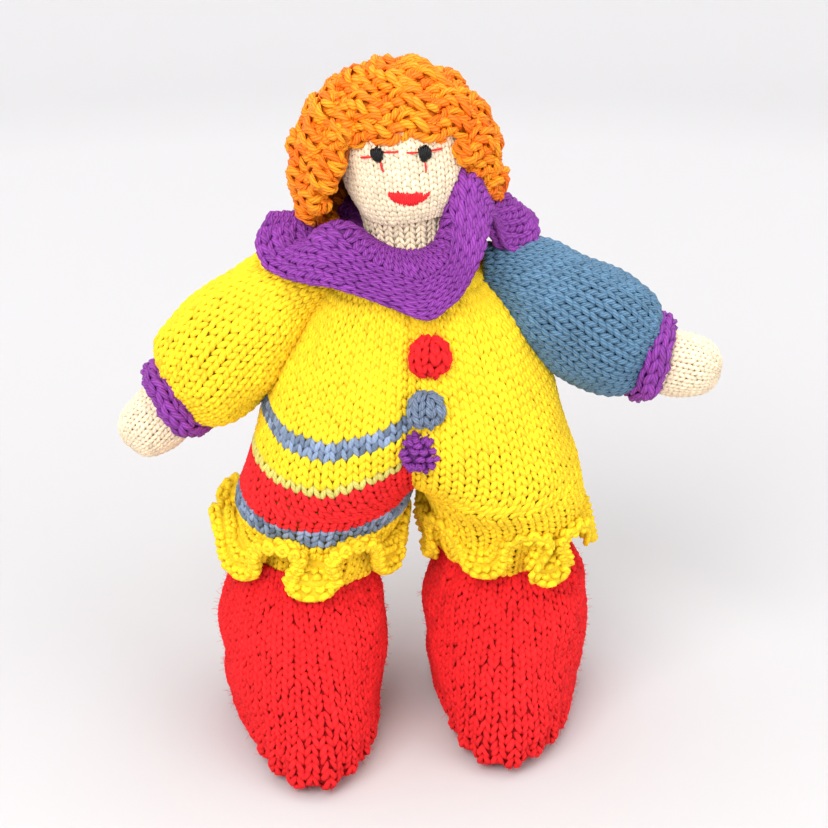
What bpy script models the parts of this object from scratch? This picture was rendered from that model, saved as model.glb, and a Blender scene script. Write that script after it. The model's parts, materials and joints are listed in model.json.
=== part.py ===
"""Knitted clown doll, stuffed, standing on its boots. Metres, +Z up, front towards -Y.

The doll is built as it is sewn: knitted covers as thin open shells, each closed round its own stuffing, with the
trims as pieces of their own. Each moving body hangs from an empty on its joint, and a ball or a dome at the joint
lets the soft piece turn without meeting its neighbour.
"""

import math
from collections import namedtuple

import bmesh
import bpy
from mathutils import Vector

MM = 0.001

# Cloth and seams.
FABRIC = 2.4 * MM  # thickness of the knitted fabric
EASE = 0.4 * MM  # gap between two pieces that touch on the sewn doll
SEGMENTS = 16  # sides of a round soft piece, a multiple of four so that the seams fall on corners

# Boots.
BOOT_LENGTH = 113 * MM
BOOT_WIDTH = 65 * MM
BOOT_HEIGHT = 57 * MM  # to the gathered edge, under the dome that turns in the ankle
SOLE_THICKNESS = 4 * MM
HEEL_REACH = 33 * MM  # how far the heel stands behind the ankle
TOE_TURN = {"right": 5, "left": 2}  # degrees that each toe turns towards the doll's left

# Legs.
LEG_BALL = 31 * MM  # radius of the ball at the top of a leg, which turns in the hip
LEG_ANKLE_RADIUS = 28.5 * MM
LEG_LENGTH = 22 * MM  # from the hip joint down to the gathered ankle
LEG_SPACING = 13 * MM  # gap between the two legs at the hip
SPLAY = {"right": 7 * MM, "left": 3.5 * MM}  # how far an ankle stands outside its hip
STEP = {"right": -8 * MM, "left": 8 * MM}  # how far an ankle stands behind its hip, so one foot is forward
FRILL_REACH = 13 * MM  # how far an ankle frill stands out from the leg
FRILL_HEIGHT = 17 * MM
FRILL_THICKNESS = 4 * MM

# Torso.
TORSO_HEIGHT = 107 * MM  # from the hip opening to the neck opening
CHEST_HALF_WIDTH = 48.5 * MM
HIP_SIDE_WALL = 0.5 * MM  # how far the hips stand out past the sides of the leg balls
BELLY_WALL = 10 * MM  # how far the belly stands out in front of and behind the leg balls
NECK_OPENING = 19.5 * MM
CROTCH_RISE = 15 * MM  # height of the hip opening over the hip joints
BOBBLE_RADII = {"red": 7.4 * MM, "blue": 6.8 * MM, "purple": 7.0 * MM}

# Collar.
COLLAR_REACH = 20 * MM
COLLAR_THICKNESS = 4 * MM
COLLAR_FRONT_DROP = 26 * MM  # how much lower the point at the front hangs

# Arms. The droop is how far the arm hangs below level, in degrees.
ARM_LENGTH = {"right": 72 * MM, "left": 62 * MM}  # from the shoulder joint to the cuff
SLEEVE_RADIUS = {"right": 22.5 * MM, "left": 21.5 * MM}
SLEEVE_RISE = 4.5 * MM  # how far the full part of a sleeve stands over its axis
SHOULDER_DROP = 18 * MM  # height of the neck opening over the shoulder joints
SHOULDER_KNOT = 5 * MM
DROOP = {"right": 43, "left": 32}
CUFF_RADIUS = 4.2 * MM
WRIST_RADIUS = 9.5 * MM
HAND_LENGTH = 31 * MM
HAND_RADIUS = 12.5 * MM

# Head.
NECK_HEIGHT = 9 * MM
NECK_RADIUS = 17.5 * MM
HEAD_HEIGHT = 51 * MM
HEAD_HALF_WIDTH = 29 * MM
HEAD_TILT = 6  # degrees, towards the doll's right shoulder
HAIR_THICKNESS = 14 * MM
HAIR_RISE = 8 * MM  # height of the hair over the crown
HAIR_CLEARANCE = EASE + HEAD_HALF_WIDTH * 0.065  # the head and the cap have flat faces, which need this room
HAIR_ROWS = 5
HAIRLINE = 21 * MM  # how far the front row stands ahead of the middle of the head
EYE_RADII = (2.8 * MM, 3.5 * MM)
EYE_SPACING = 19 * MM
EYE_HEIGHT = 29.5 * MM  # over the chin
EYE_THICKNESS = 1.8 * MM
STITCH_WIDTH = 1.2 * MM
STITCH_LENGTH = 4 * MM
MOUTH_WIDTH = 16 * MM
MOUTH_RISE = 11 * MM  # height of the mouth's top edge over the chin
MOUTH_HEIGHT = 7 * MM
MOUTH_THICKNESS = 1.6 * MM

# Sides of the doll, as +1 or -1 along X. The doll faces -Y, so its left is at +X.
SIDES = {"left": 1, "right": -1}

# Heights of the joints.
ANKLE_DEPTH = 10 * MM  # depth of the ankle joint under the leg, so that the boot's dome clears it
ANKLE_GAP = 3 * MM  # height of the ankle joint over the boot
ANKLE_Z = BOOT_HEIGHT + ANKLE_GAP
HIP_Z = ANKLE_Z + ANKLE_DEPTH + LEG_LENGTH
TORSO_BOTTOM = HIP_Z + CROTCH_RISE
TORSO_TOP = TORSO_BOTTOM + TORSO_HEIGHT
NECK_Z = TORSO_TOP + EASE
NOD_GAP = 1.5 * MM  # height of the nodding joint over the neck, and of the chin over the joint
NOD_Z = NECK_Z + NECK_HEIGHT + NOD_GAP
HEAD_Z = NOD_Z + NOD_GAP

HIP_X = LEG_BALL + LEG_SPACING / 2
HIP_HALF_WIDTH = HIP_X + LEG_BALL + HIP_SIDE_WALL
BELLY_HALF_DEPTH = LEG_BALL + BELLY_WALL

COLOURS = {
    "yellow": (0.93, 0.62, 0.01),
    "red": (0.86, 0.02, 0.02),
    "blue": (0.10, 0.22, 0.40),
    "purple": (0.19, 0.04, 0.42),
    "cream": (0.86, 0.72, 0.50),
    "orange": (0.93, 0.26, 0.01),
    "black": (0.01, 0.01, 0.01),
    "white": (0.90, 0.90, 0.88),
}

# One level outline of a soft piece: an oval with its own reach to the front (-Y) and to the back (+Y).
Ring = namedtuple("Ring", "z width front back x y", defaults=(0.0, 0.0))


def round_ring(z, radius, x=0.0, y=0.0):
    return Ring(z, radius, radius, radius, x, y)


def ring_points(ring, start=0.0, end=2 * math.pi, count=SEGMENTS, closed=True):
    """Points along the oval from one angle to another; a closed ring leaves out the last."""
    steps = count if closed else count - 1
    points = []
    for i in range(count):
        angle = start + (end - start) * i / steps
        depth = ring.back if math.sin(angle) > 0 else ring.front
        points.append(
            Vector(
                (
                    ring.x + ring.width * math.cos(angle),
                    ring.y + depth * math.sin(angle),
                    ring.z,
                )
            )
        )
    return points


def inset(rings, by, first=0.0, last=0.0):
    """The rings taken in by a distance, square to the surface at the sides.

    The first and the last level move inwards by distances of their own, which close an end or leave it open.
    """
    up = 1 if rings[-1].z > rings[0].z else -1
    made = []
    for i, ring in enumerate(rings):
        if i == 0:
            across, along = 1.0, first / by
        elif i == len(rings) - 1:
            across, along = 1.0, -last / by
        else:
            rise = abs(rings[i + 1].z - rings[i - 1].z)
            spread = rings[i + 1].width - rings[i - 1].width
            slant = math.hypot(rise, spread)
            across, along = max(rise / slant, 0.4), spread / slant
        made.append(
            ring._replace(
                z=ring.z + up * by * along,
                width=max(ring.width - by * across, by / 4),
                front=max(ring.front - by * across, by / 4),
                back=max(ring.back - by * across, by / 4),
            )
        )
    return made


def material(name):
    found = bpy.data.materials.get(name)
    if found:
        return found
    made = bpy.data.materials.new(name)
    made.use_nodes = True
    shader = made.node_tree.nodes["Principled BSDF"]
    shader.inputs["Base Color"].default_value = (*COLOURS[name], 1)
    shader.inputs["Roughness"].default_value = 0.85
    shader.inputs["Metallic"].default_value = 0.0
    return made


def place(name, mesh_data, colour, parent):
    """An object of that mesh, smooth where it is round, hung from its parent."""
    mesh_data.materials.append(material(colour))
    obj = bpy.data.objects.new(name, mesh_data)
    bpy.context.scene.collection.objects.link(obj)
    mesh_data.shade_smooth()
    mesh_data.set_sharp_from_angle(angle=math.radians(50))
    obj.parent = parent
    return obj


def finish_mesh(name, bm):
    bmesh.ops.recalc_face_normals(bm, faces=bm.faces)
    mesh_data = bpy.data.meshes.new(name)
    bm.to_mesh(mesh_data)
    bm.free()
    return mesh_data


def add_loops(bm, loops):
    return [[bm.verts.new(point) for point in loop] for loop in loops]


def join_loops(bm, loops):
    """Four-sided faces between each loop and the next."""
    for lower, upper in zip(loops, loops[1:]):
        for i in range(len(lower)):
            j = (i + 1) % len(lower)
            bm.faces.new((lower[i], lower[j], upper[j], upper[i]))


def solid(name, rings, colour, parent, count=SEGMENTS):
    """A stuffed form: the rings joined, with both ends closed."""
    bm = bmesh.new()
    loops = add_loops(bm, [ring_points(ring, count=count) for ring in rings])
    join_loops(bm, loops)
    bm.faces.new(loops[0])
    bm.faces.new(loops[-1])
    return place(name, finish_mesh(name, bm), colour, parent)


def cover(name, rings, colour, parent, closed_end=False, count=SEGMENTS):
    """A knitted shell round the rings, open at its first ring and at its last unless that end is closed."""
    bm = bmesh.new()
    outer = add_loops(bm, [ring_points(ring, count=count) for ring in rings])
    within = inset(rings, FABRIC, last=FABRIC if closed_end else 0.0)
    inner = add_loops(bm, [ring_points(ring, count=count) for ring in within])
    join_loops(bm, outer)
    join_loops(bm, inner)
    join_loops(bm, [outer[0], inner[0]])
    if closed_end:
        bm.faces.new(outer[-1])
        bm.faces.new(inner[-1])
    else:
        join_loops(bm, [outer[-1], inner[-1]])
    return place(name, finish_mesh(name, bm), colour, parent)


def half_cover(name, rings, side, colour, parent):
    """Half of a knitted shell, from the seam at the front round one side to the seam at the back."""
    count = SEGMENTS // 2 + 1
    start = math.asin(-1) if side > 0 else math.asin(1)
    loops = []
    for outer, within in zip(rings, inset(rings, FABRIC)):
        around = ring_points(outer, start, start + math.pi, count, closed=False)
        back = ring_points(within, start, start + math.pi, count, closed=False)
        loop = around + back[::-1]
        for point in loop:
            point.x += side * EASE / 2
        loops.append(loop)
    bm = bmesh.new()
    made = add_loops(bm, loops)
    join_loops(bm, made)
    for loop in (made[0], made[-1]):
        for i in range(count - 1):
            bm.faces.new((loop[i], loop[i + 1], loop[-2 - i], loop[-1 - i]))
    return place(name, finish_mesh(name, bm), colour, parent)


def stuffing(name, rings, parent, clear_first=0.0, clear_last=0.0, count=SEGMENTS):
    """The filling inside a cover: the same rings, in by the fabric and the ease."""
    within = inset(
        rings, FABRIC + EASE, first=EASE + clear_first, last=EASE + clear_last
    )
    return solid(name, within, "white", parent, count)


def joint(name, location, parent=None, rotation=(0, 0, 0)):
    """An empty on a joint, placed in its parent's frame."""
    empty = bpy.data.objects.new(name, None)
    bpy.context.scene.collection.objects.link(empty)
    empty.parent = parent
    empty.location = location
    empty.rotation_euler = rotation
    return empty


def cut(target, cutter):
    modifier = target.modifiers.new("cut_by_" + cutter.name, "BOOLEAN")
    modifier.operation = "DIFFERENCE"
    modifier.object = cutter


def ball_cutter(name, radius, location, parent):
    """A ball that only cuts; it isn't a piece of the doll."""
    bm = bmesh.new()
    bmesh.ops.create_uvsphere(bm, u_segments=24, v_segments=16, radius=radius)
    cutter = bpy.data.objects.new(name, finish_mesh(name, bm))
    bpy.context.scene.collection.objects.link(cutter)
    cutter.parent = parent
    cutter.location = location
    cutter.hide_render = True
    cutter.display_type = "WIRE"
    return cutter


def torso_rings():
    """The belly is widest over the hips, and the shoulders slope in to the neck opening."""
    step = HIP_HALF_WIDTH - CHEST_HALF_WIDTH
    profile = (
        # share of the height, half width, share of the belly's depth
        (0.00, HIP_HALF_WIDTH - 1 * MM, 0.97),
        (0.11, HIP_HALF_WIDTH, 1.00),
        (0.35, CHEST_HALF_WIDTH + step * 0.62, 0.98),
        (0.52, CHEST_HALF_WIDTH + step * 0.28, 0.91),
        (0.65, CHEST_HALF_WIDTH, 0.82),
        (0.76, CHEST_HALF_WIDTH * 0.85, 0.75),
        (0.86, CHEST_HALF_WIDTH * 0.68, 0.66),
        (0.94, CHEST_HALF_WIDTH * 0.54, 0.57),
    )
    rings = [
        Ring(
            TORSO_BOTTOM + share * TORSO_HEIGHT,
            width,
            depth * BELLY_HALF_DEPTH,
            depth * BELLY_HALF_DEPTH,
        )
        for share, width, depth in profile
    ]
    return rings + [round_ring(TORSO_TOP, NECK_OPENING)]


def ring_at(height, rings):
    """The outline between two rings at a height."""
    for lower, upper in zip(rings, rings[1:]):
        if height <= upper.z:
            share = max(0.0, (height - lower.z) / (upper.z - lower.z))
            return Ring(*(a + share * (b - a) for a, b in zip(lower, upper)))
    return rings[-1]


def reach_at(angle, height, rings):
    """How far a form reaches from its own axis in a direction, at a height."""
    ring = ring_at(height, rings)
    depth = ring.back if math.sin(angle) > 0 else ring.front
    return 1 / math.hypot(math.cos(angle) / ring.width, math.sin(angle) / depth)


def make_torso(figure):
    rings = torso_rings()
    sockets = [
        ball_cutter(
            f"hip_socket_{name}",
            LEG_BALL + 2 * EASE,
            (side * HIP_X, 0, HIP_Z),
            figure,
        )
        for name, side in SIDES.items()
    ]
    pieces = [
        half_cover(f"torso_cover_{name}", rings, side, "yellow", figure)
        for name, side in SIDES.items()
    ]
    pieces.append(stuffing("torso_stuffing", rings, figure))
    for piece in pieces:
        for socket in sockets:
            cut(piece, socket)
    return rings


def make_bobbles(figure, rings):
    """Three knitted bobbles down the front seam."""
    places = (("red", 0.66, 7), ("blue", 0.455, 5), ("purple", 0.28, 3))
    for colour, share, shift in places:
        radius = BOBBLE_RADII[colour]
        height = TORSO_BOTTOM + share * TORSO_HEIGHT
        depth = radius * 0.6
        reach = max(
            ring_at(height + radius, rings).front, ring_at(height - radius, rings).front
        )
        bobble = [
            round_ring(-depth, radius * 0.55),
            round_ring(-depth * 0.5, radius * 0.92),
            round_ring(depth * 0.25, radius),
            round_ring(depth * 0.75, radius * 0.72),
            round_ring(depth, radius * 0.3),
        ]
        obj = solid(f"bobble_{colour}", bobble, colour, figure, count=12)
        obj.rotation_euler = (math.radians(90), 0, 0)
        obj.location = (shift * MM, -reach - depth - EASE, height)


def make_collar(figure, torso):
    """A ruffle round the neck that lies over the shoulders and drops to a point at the front."""
    count = 28
    waves = 7
    inner_radius = NECK_RADIUS * 1.02 + EASE * 2
    inner_z = TORSO_TOP + 2 * MM
    bm = bmesh.new()
    loops = []
    for i in range(count):
        angle = 2 * math.pi * i / count
        front = max(0.0, -math.sin(angle)) ** 3
        wave = math.cos(waves * angle)
        line = []
        for share in (0.0, 0.4, 1.0):
            radius = inner_radius + COLLAR_REACH * share * (1 + 0.05 * wave)
            z = inner_z + 3 * MM * share * (1 + 0.5 * wave)
            z -= front * COLLAR_FRONT_DROP * share
            radius = max(radius, reach_at(angle, z - EASE, torso) + EASE)
            line.append((radius, z))
        under = [
            Vector((r * math.cos(angle), r * math.sin(angle), z)) for r, z in line
        ]
        over = [point + Vector((0, 0, COLLAR_THICKNESS)) for point in under]
        loops.append(under + over[::-1])
    made = add_loops(bm, loops)
    join_loops(bm, made + [made[0]])
    return place("collar", finish_mesh("collar", bm), "purple", figure)


def leg_rings(name):
    """A ball in the hip, and under it the leg, which leans out to the ankle."""
    lean = SIDES[name] * SPLAY[name]
    step = STEP[name]
    rings = []
    for degrees in (72, 50, 28, 6):
        angle = math.radians(degrees)
        rings.append(
            round_ring(LEG_BALL * math.sin(angle), LEG_BALL * math.cos(angle))
        )
    for share in (0.45, 1.0):
        radius = LEG_BALL + (LEG_ANKLE_RADIUS - LEG_BALL) * share
        rings.append(
            round_ring(-share * LEG_LENGTH, radius, x=lean * share, y=step * share)
        )
    return rings


def make_frill(name, parent):
    """A flared skirt round the ankle, over the top of the boot."""
    side = SIDES[name]
    count = 20
    waves = 6
    inner = LEG_BALL + EASE * 2 + abs(STEP[name]) * 0.25
    top = -LEG_LENGTH + FRILL_HEIGHT * 0.5
    centre = side * SPLAY[name] * 0.7
    room = HIP_X + side * centre - 2 * EASE
    bm = bmesh.new()
    loops = []
    for i in range(count):
        angle = 2 * math.pi * i / count
        wave = math.cos(waves * angle)
        reach = inner + FRILL_REACH * (1 + 0.08 * wave)
        towards_middle = -side * math.cos(angle)
        if reach * towards_middle > room:
            reach = room / towards_middle
        low = top - FRILL_HEIGHT + 2 * MM * wave
        line = (
            (inner, top),
            (reach - FRILL_THICKNESS * 0.8, low),
            (reach, low + FRILL_THICKNESS * 0.6),
            (inner + FRILL_THICKNESS * 0.6, top + FRILL_THICKNESS * 0.8),
        )
        loops.append(
            [
                Vector(
                    (
                        centre + radius * math.cos(angle),
                        STEP[name] * 0.5 + radius * math.sin(angle),
                        z,
                    )
                )
                for radius, z in line
            ]
        )
    made = add_loops(bm, loops)
    join_loops(bm, made + [made[0]])
    title = f"ankle_frill_{name}"
    place(title, finish_mesh(title, bm), "yellow", parent)


def make_leg(name, figure):
    side = SIDES[name]
    hip = joint(f"hip_joint_{name}", (side * HIP_X, 0, HIP_Z), figure)
    rings = leg_rings(name)[::-1]
    cover(f"leg_cover_{name}", rings, "yellow", hip, closed_end=True)
    stuffing(f"leg_stuffing_{name}", rings, hip, clear_last=FABRIC)
    make_frill(name, hip)
    ankle = joint(
        f"ankle_joint_{name}",
        (side * SPLAY[name], STEP[name], -LEG_LENGTH - ANKLE_DEPTH),
        hip,
        rotation=(0, 0, math.radians(TOE_TURN[name])),
    )
    make_boot(name, ankle)


def boot_rings():
    """Level outlines of the boot from the sole up; the toe end draws back towards the ankle."""
    toe = BOOT_LENGTH - HEEL_REACH
    half = BOOT_WIDTH / 2
    profile = (
        # share of the height, then shares of the half width, the toe and the heel
        (0.07, 0.90, 0.95, 0.90),
        (0.17, 0.98, 1.00, 1.00),
        (0.35, 1.00, 0.98, 1.03),
        (0.56, 0.98, 0.88, 1.03),
        (0.74, 0.95, 0.69, 1.00),
        (0.88, 0.92, 0.50, 0.94),
        (1.00, 0.89, 0.37, 0.84),
    )
    rings = [
        Ring(BOOT_HEIGHT * height - ANKLE_Z, half * width, toe * front, HEEL_REACH * back)
        for height, width, front, back in profile
    ]
    rings[0] = rings[0]._replace(z=SOLE_THICKNESS + EASE - ANKLE_Z)
    dome = ((0.15, 0.92), (0.42, 0.66), (0.68, 0.32), (0.82, 0.1))
    neck = half * 0.89
    rings += [round_ring(ANKLE_DEPTH * up, neck * radius) for up, radius in dome]
    return rings


def make_boot(name, ankle):
    count = 18
    rings = boot_rings()
    first = rings[0]
    cover(f"boot_upper_{name}", rings, "red", ankle, closed_end=True, count=count)
    stuffing(f"boot_stuffing_{name}", rings, ankle, clear_last=FABRIC, count=count)
    sole = [
        first._replace(
            z=-ANKLE_Z,
            width=first.width * 0.94,
            front=first.front * 0.97,
            back=first.back * 0.94,
        ),
        first._replace(z=SOLE_THICKNESS - ANKLE_Z),
    ]
    solid(f"boot_sole_{name}", sole, "red", ankle, count=count)


def sleeve_stations(name):
    """Distance along the arm, radius and lift of the sleeve's rings."""
    radius = SLEEVE_RADIUS[name]
    first = SHOULDER_KNOT * 0.6
    span = ARM_LENGTH[name] - CUFF_RADIUS - EASE - first
    profile = (
        # share of the length, radius, share of the rise
        (0.00, SHOULDER_KNOT + FABRIC + 2 * EASE, 0.0),
        (0.11, radius * 0.55, 0.6),
        (0.27, radius * 0.82, 1.0),
        (0.50, radius * 0.99, 0.7),
        (0.68, radius, 0.3),
        (0.84, radius * 0.88, 0.1),
        (1.00, WRIST_RADIUS + FABRIC, 0.0),
    )
    return [(first + share * span, reach, SLEEVE_RISE * rise) for share, reach, rise in profile]


def hang(name, out, height, torso):
    """The angle the arm hangs at: as drawn, or higher where the sleeve's underside would meet the body."""
    for degrees in range(DROOP[name], 0, -1):
        droop = math.radians(degrees)
        clear = True
        for along, reach, lift in sleeve_stations(name)[2:]:
            under = reach - lift
            across = out + along * math.cos(droop) - under * math.sin(droop)
            level = height - along * math.sin(droop) - under * math.cos(droop)
            clear = clear and across > ring_at(level, torso).width + EASE
        if clear:
            return droop
    return 0.0


def make_arm(name, figure, torso):
    """The arm hangs from a knot of gathered fabric. Its own Z runs from the shoulder to the hand."""
    side = SIDES[name]
    colour = "yellow" if name == "right" else "blue"
    clear = SHOULDER_KNOT + FABRIC + 2 * EASE
    height = TORSO_TOP - SHOULDER_DROP
    out = ring_at(height - clear, torso).width + clear * 0.5
    droop = hang(name, out, height, torso)
    shoulder = joint(f"shoulder_joint_{name}", (side * out, 0, height), figure)
    make_knot(name, colour, shoulder)
    arm = joint(
        f"arm_joint_{name}",
        (0, 0, 0),
        shoulder,
        rotation=(0, side * (math.pi / 2 + droop), 0),
    )
    length = ARM_LENGTH[name]
    rings = [round_ring(along, reach, x=-side * lift) for along, reach, lift in sleeve_stations(name)]
    cover(f"sleeve_{name}", rings, colour, arm)
    top = round_ring(SHOULDER_KNOT + 2 * EASE, rings[0].width)
    stuffing(f"sleeve_stuffing_{name}", [top] + rings[2:], arm)
    make_cuff(name, length, arm)
    wrist = joint(f"wrist_joint_{name}", (0, 0, length), arm)
    make_hand(name, wrist)


def make_knot(name, colour, shoulder):
    bm = bmesh.new()
    bmesh.ops.create_icosphere(bm, subdivisions=2, radius=SHOULDER_KNOT)
    title = f"shoulder_gather_{name}"
    place(title, finish_mesh(title, bm), colour, shoulder)


def make_cuff(name, length, arm):
    """A corded ring round the wrist."""
    bm = bmesh.new()
    loops = []
    sides = 8
    middle = WRIST_RADIUS + CUFF_RADIUS + EASE
    for i in range(SEGMENTS):
        angle = 2 * math.pi * i / SEGMENTS
        loop = []
        for k in range(sides):
            turn = 2 * math.pi * k / sides
            radius = middle + CUFF_RADIUS * math.cos(turn)
            loop.append(
                Vector(
                    (
                        radius * math.cos(angle),
                        radius * math.sin(angle),
                        length + CUFF_RADIUS * math.sin(turn),
                    )
                )
            )
        loops.append(loop)
    made = add_loops(bm, loops)
    join_loops(bm, made + [made[0]])
    title = f"cuff_{name}"
    place(title, finish_mesh(title, bm), "purple", arm)


def make_hand(name, wrist):
    """A plain mitten. Its root is narrow, so that it bends in the cuff."""
    start = CUFF_RADIUS + 2 * MM
    profile = (
        (0.00, 0.50),
        (0.22, 0.93),
        (0.45, 1.00),
        (0.72, 0.86),
        (0.92, 0.50),
        (1.00, 0.22),
    )
    rings = [
        round_ring(start + share * (HAND_LENGTH - start), HAND_RADIUS * radius)
        for share, radius in profile
    ]
    cover(f"hand_{name}", rings, "cream", wrist, closed_end=True, count=12)
    stuffing(f"hand_stuffing_{name}", rings, wrist, clear_last=FABRIC, count=12)


def head_rings():
    """An egg with its narrow end down at the chin, measured from the nod joint."""
    base = HEAD_Z - NOD_Z
    profile = (
        (0.00, 0.42),
        (0.10, 0.74),
        (0.24, 0.93),
        (0.42, 1.00),
        (0.62, 0.98),
        (0.80, 0.80),
        (0.93, 0.50),
        (1.00, 0.20),
    )
    return [
        round_ring(base + share * HEAD_HEIGHT, HEAD_HALF_WIDTH * radius)
        for share, radius in profile
    ]


def make_neck(figure):
    neck = joint("neck_joint", (0, 0, NECK_Z), figure)
    tube = [
        round_ring(0, NECK_RADIUS * 1.02),
        round_ring(NECK_HEIGHT * 0.5, NECK_RADIUS),
        round_ring(NECK_HEIGHT * 0.8, NECK_RADIUS * 0.9),
    ]
    cover("neck_rib", tube, "cream", neck)
    stuffing("neck_stuffing", tube, neck, clear_last=FABRIC)
    return neck


def face_point(x, height, rings, lift):
    """A place on the face, and the turn that makes a flat piece lie on it."""
    radius = ring_at(height, rings).width
    angle = math.asin(x / radius)
    reach = radius + lift
    location = Vector((reach * math.sin(angle), -reach * math.cos(angle), height))
    return location, angle


def flat_outline(name, outline, thickness, colour, parent, location, angle):
    """A thin piece with that outline, domed a little, lying on the face."""
    bm = bmesh.new()
    lower = [Vector((x, y, 0)) for x, y in outline]
    middle = [Vector((x, y, thickness * 0.55)) for x, y in outline]
    upper = [Vector((x * 0.72, y * 0.72, thickness)) for x, y in outline]
    loops = add_loops(bm, [lower, middle, upper])
    join_loops(bm, loops)
    bm.faces.new(loops[0])
    bm.faces.new(loops[-1])
    obj = place(name, finish_mesh(name, bm), colour, parent)
    obj.rotation_euler = (math.radians(90), 0, angle)
    obj.location = location
    return obj


def star_outline():
    """A cross of four straight stitches, wide as the yarn, that meet behind the eye."""
    half = STITCH_WIDTH / 2
    reach_x = EYE_RADII[0] + STITCH_LENGTH
    reach_y = EYE_RADII[1] + STITCH_LENGTH
    return [
        (half, half),
        (half, reach_y),
        (-half, reach_y),
        (-half, half),
        (-reach_x, half),
        (-reach_x, -half),
        (-half, -half),
        (-half, -reach_y),
        (half, -reach_y),
        (half, -half),
        (reach_x, -half),
        (reach_x, half),
    ]


def mouth_outline():
    """Level on top, a shallow bow below."""
    half = MOUTH_WIDTH / 2
    top = [(half, 0.25), (half * 0.4, 0.35), (-half * 0.4, 0.35), (-half, 0.25)]
    count = 7
    bow = []
    for i in range(1, count):
        share = i / count
        bow.append((-half + share * MOUTH_WIDTH, 0.25 - math.sin(math.pi * share)))
    return [(x, y * MOUTH_HEIGHT * 0.75) for x, y in top + bow]


def make_face(head, rings):
    chin = HEAD_Z - NOD_Z
    sag = HEAD_HALF_WIDTH * 0.06  # the face curves away behind a flat stitch
    for name, side in SIDES.items():
        location, angle = face_point(
            side * EYE_SPACING / 2, chin + EYE_HEIGHT, rings, EASE + sag
        )
        flat_outline(
            f"eye_stitches_{name}",
            star_outline(),
            STITCH_WIDTH,
            "red",
            head,
            location,
            angle,
        )
        ahead = Vector((math.sin(angle), -math.cos(angle), 0))
        pupil = [
            (EYE_RADII[0] * math.cos(turn), EYE_RADII[1] * math.sin(turn))
            for turn in (2 * math.pi * i / 12 for i in range(12))
        ]
        flat_outline(
            f"eye_{name}",
            pupil,
            EYE_THICKNESS,
            "black",
            head,
            location + ahead * (STITCH_WIDTH + EASE),
            angle,
        )
    location, angle = face_point(0, chin + MOUTH_RISE, rings, EASE * 3)
    location.z -= MOUTH_HEIGHT * 0.3
    flat_outline(
        "mouth",
        mouth_outline(),
        MOUTH_THICKNESS,
        "red",
        head,
        location,
        angle,
    )


def hair_arch(y, radius_x, radius_z, radius_y):
    """Points of an arch over the head at a depth, from one side of the neck to the other."""
    steps = 12
    low = math.radians(-38)
    middle = HEAD_Z - NOD_Z + HEAD_HEIGHT / 2
    share = math.sqrt(max(0.0, 1 - (y / radius_y) ** 2))
    points = []
    for i in range(steps + 1):
        angle = low + (math.pi - 2 * low) * i / steps
        across = math.cos(angle)
        if math.sin(angle) < 0:
            across = math.copysign(1.0, across)  # under the ears it hangs straight
        across *= radius_x * share
        up = radius_z * share * math.sin(angle)
        points.append(Vector((across, y, middle + up)))
    return points


def hair_row(number, head):
    """One ruffled strip. The strips stand one behind another, and the last covers the back of the head."""
    inner = HEAD_HALF_WIDTH + HAIR_CLEARANCE
    inner_z = HEAD_HEIGHT / 2 + HAIR_CLEARANCE
    outer = HEAD_HALF_WIDTH + HAIR_THICKNESS
    outer_z = HEAD_HEIGHT / 2 + HAIR_RISE
    outer_y = outer + 1 * MM
    width = (inner + HAIRLINE) / (HAIR_ROWS - 1)
    start = -HAIRLINE + number * width
    bm = bmesh.new()
    if number == HAIR_ROWS - 1:
        depths = (start + EASE, (start + outer) / 2, outer - 2 * MM)
        arches = [hair_arch(y, outer, outer_z, outer_y) for y in depths]
        made = add_loops(bm, [list(row) for row in zip(*arches)])
        join_strips(bm, made)
        bm.faces.new([row[0] for row in made])
        bm.faces.new([row[-1] for row in made])
        bm.faces.new(made[0] + made[-1][::-1])
    else:
        end = start + width - 2 * EASE
        arches = (
            hair_arch(start, outer, outer_z, outer_y),
            hair_arch(end, outer, outer_z, outer_y),
            hair_arch(end, inner, inner_z, inner),
            hair_arch(start, inner, inner_z, inner),
        )
        made = add_loops(bm, [list(row) for row in zip(*arches)])
        join_loops(bm, made)
        bm.faces.new(made[0])
        bm.faces.new(made[-1])
    title = f"hair_row_{number + 1}"
    return place(title, finish_mesh(title, bm), "orange", head)


def join_strips(bm, rows):
    """Four-sided faces between open rows of points."""
    for lower, upper in zip(rows, rows[1:]):
        for i in range(len(lower) - 1):
            bm.faces.new((lower[i], lower[i + 1], upper[i + 1], upper[i]))


def make_head(neck):
    head = joint(
        "nod_joint",
        (0, 0, NOD_Z - NECK_Z),
        neck,
        rotation=(0, -math.radians(HEAD_TILT), 0),
    )
    rings = head_rings()
    cover("head_cover", rings, "cream", head, closed_end=True)
    stuffing("head_stuffing", rings, head, clear_last=FABRIC)
    make_face(head, rings)
    for number in range(HAIR_ROWS):
        hair_row(number, head)


def stand_on_origin(figure):
    """Moves the doll so that the middle of its footprint box is over the origin, at the floor."""
    bpy.context.view_layer.update()
    graph = bpy.context.evaluated_depsgraph_get()
    corners = [
        obj.matrix_world @ Vector(corner)
        for obj in bpy.context.scene.objects
        if obj.type == "MESH" and not obj.hide_render
        for corner in [
            vertex.co for vertex in obj.evaluated_get(graph).data.vertices
        ]
    ]
    low = Vector([min(point[k] for point in corners) for k in range(3)])
    high = Vector([max(point[k] for point in corners) for k in range(3)])
    middle = (low + high) / 2
    figure.location = (-middle.x, -middle.y, -low.z)


def build():
    for obj in list(bpy.data.objects):
        bpy.data.objects.remove(obj)
    figure = joint("figure", (0, 0, 0))
    torso = make_torso(figure)
    make_bobbles(figure, torso)
    make_collar(figure, torso)
    for name in SIDES:
        make_leg(name, figure)
        make_arm(name, figure, torso)
    make_head(make_neck(figure))
    stand_on_origin(figure)


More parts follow.
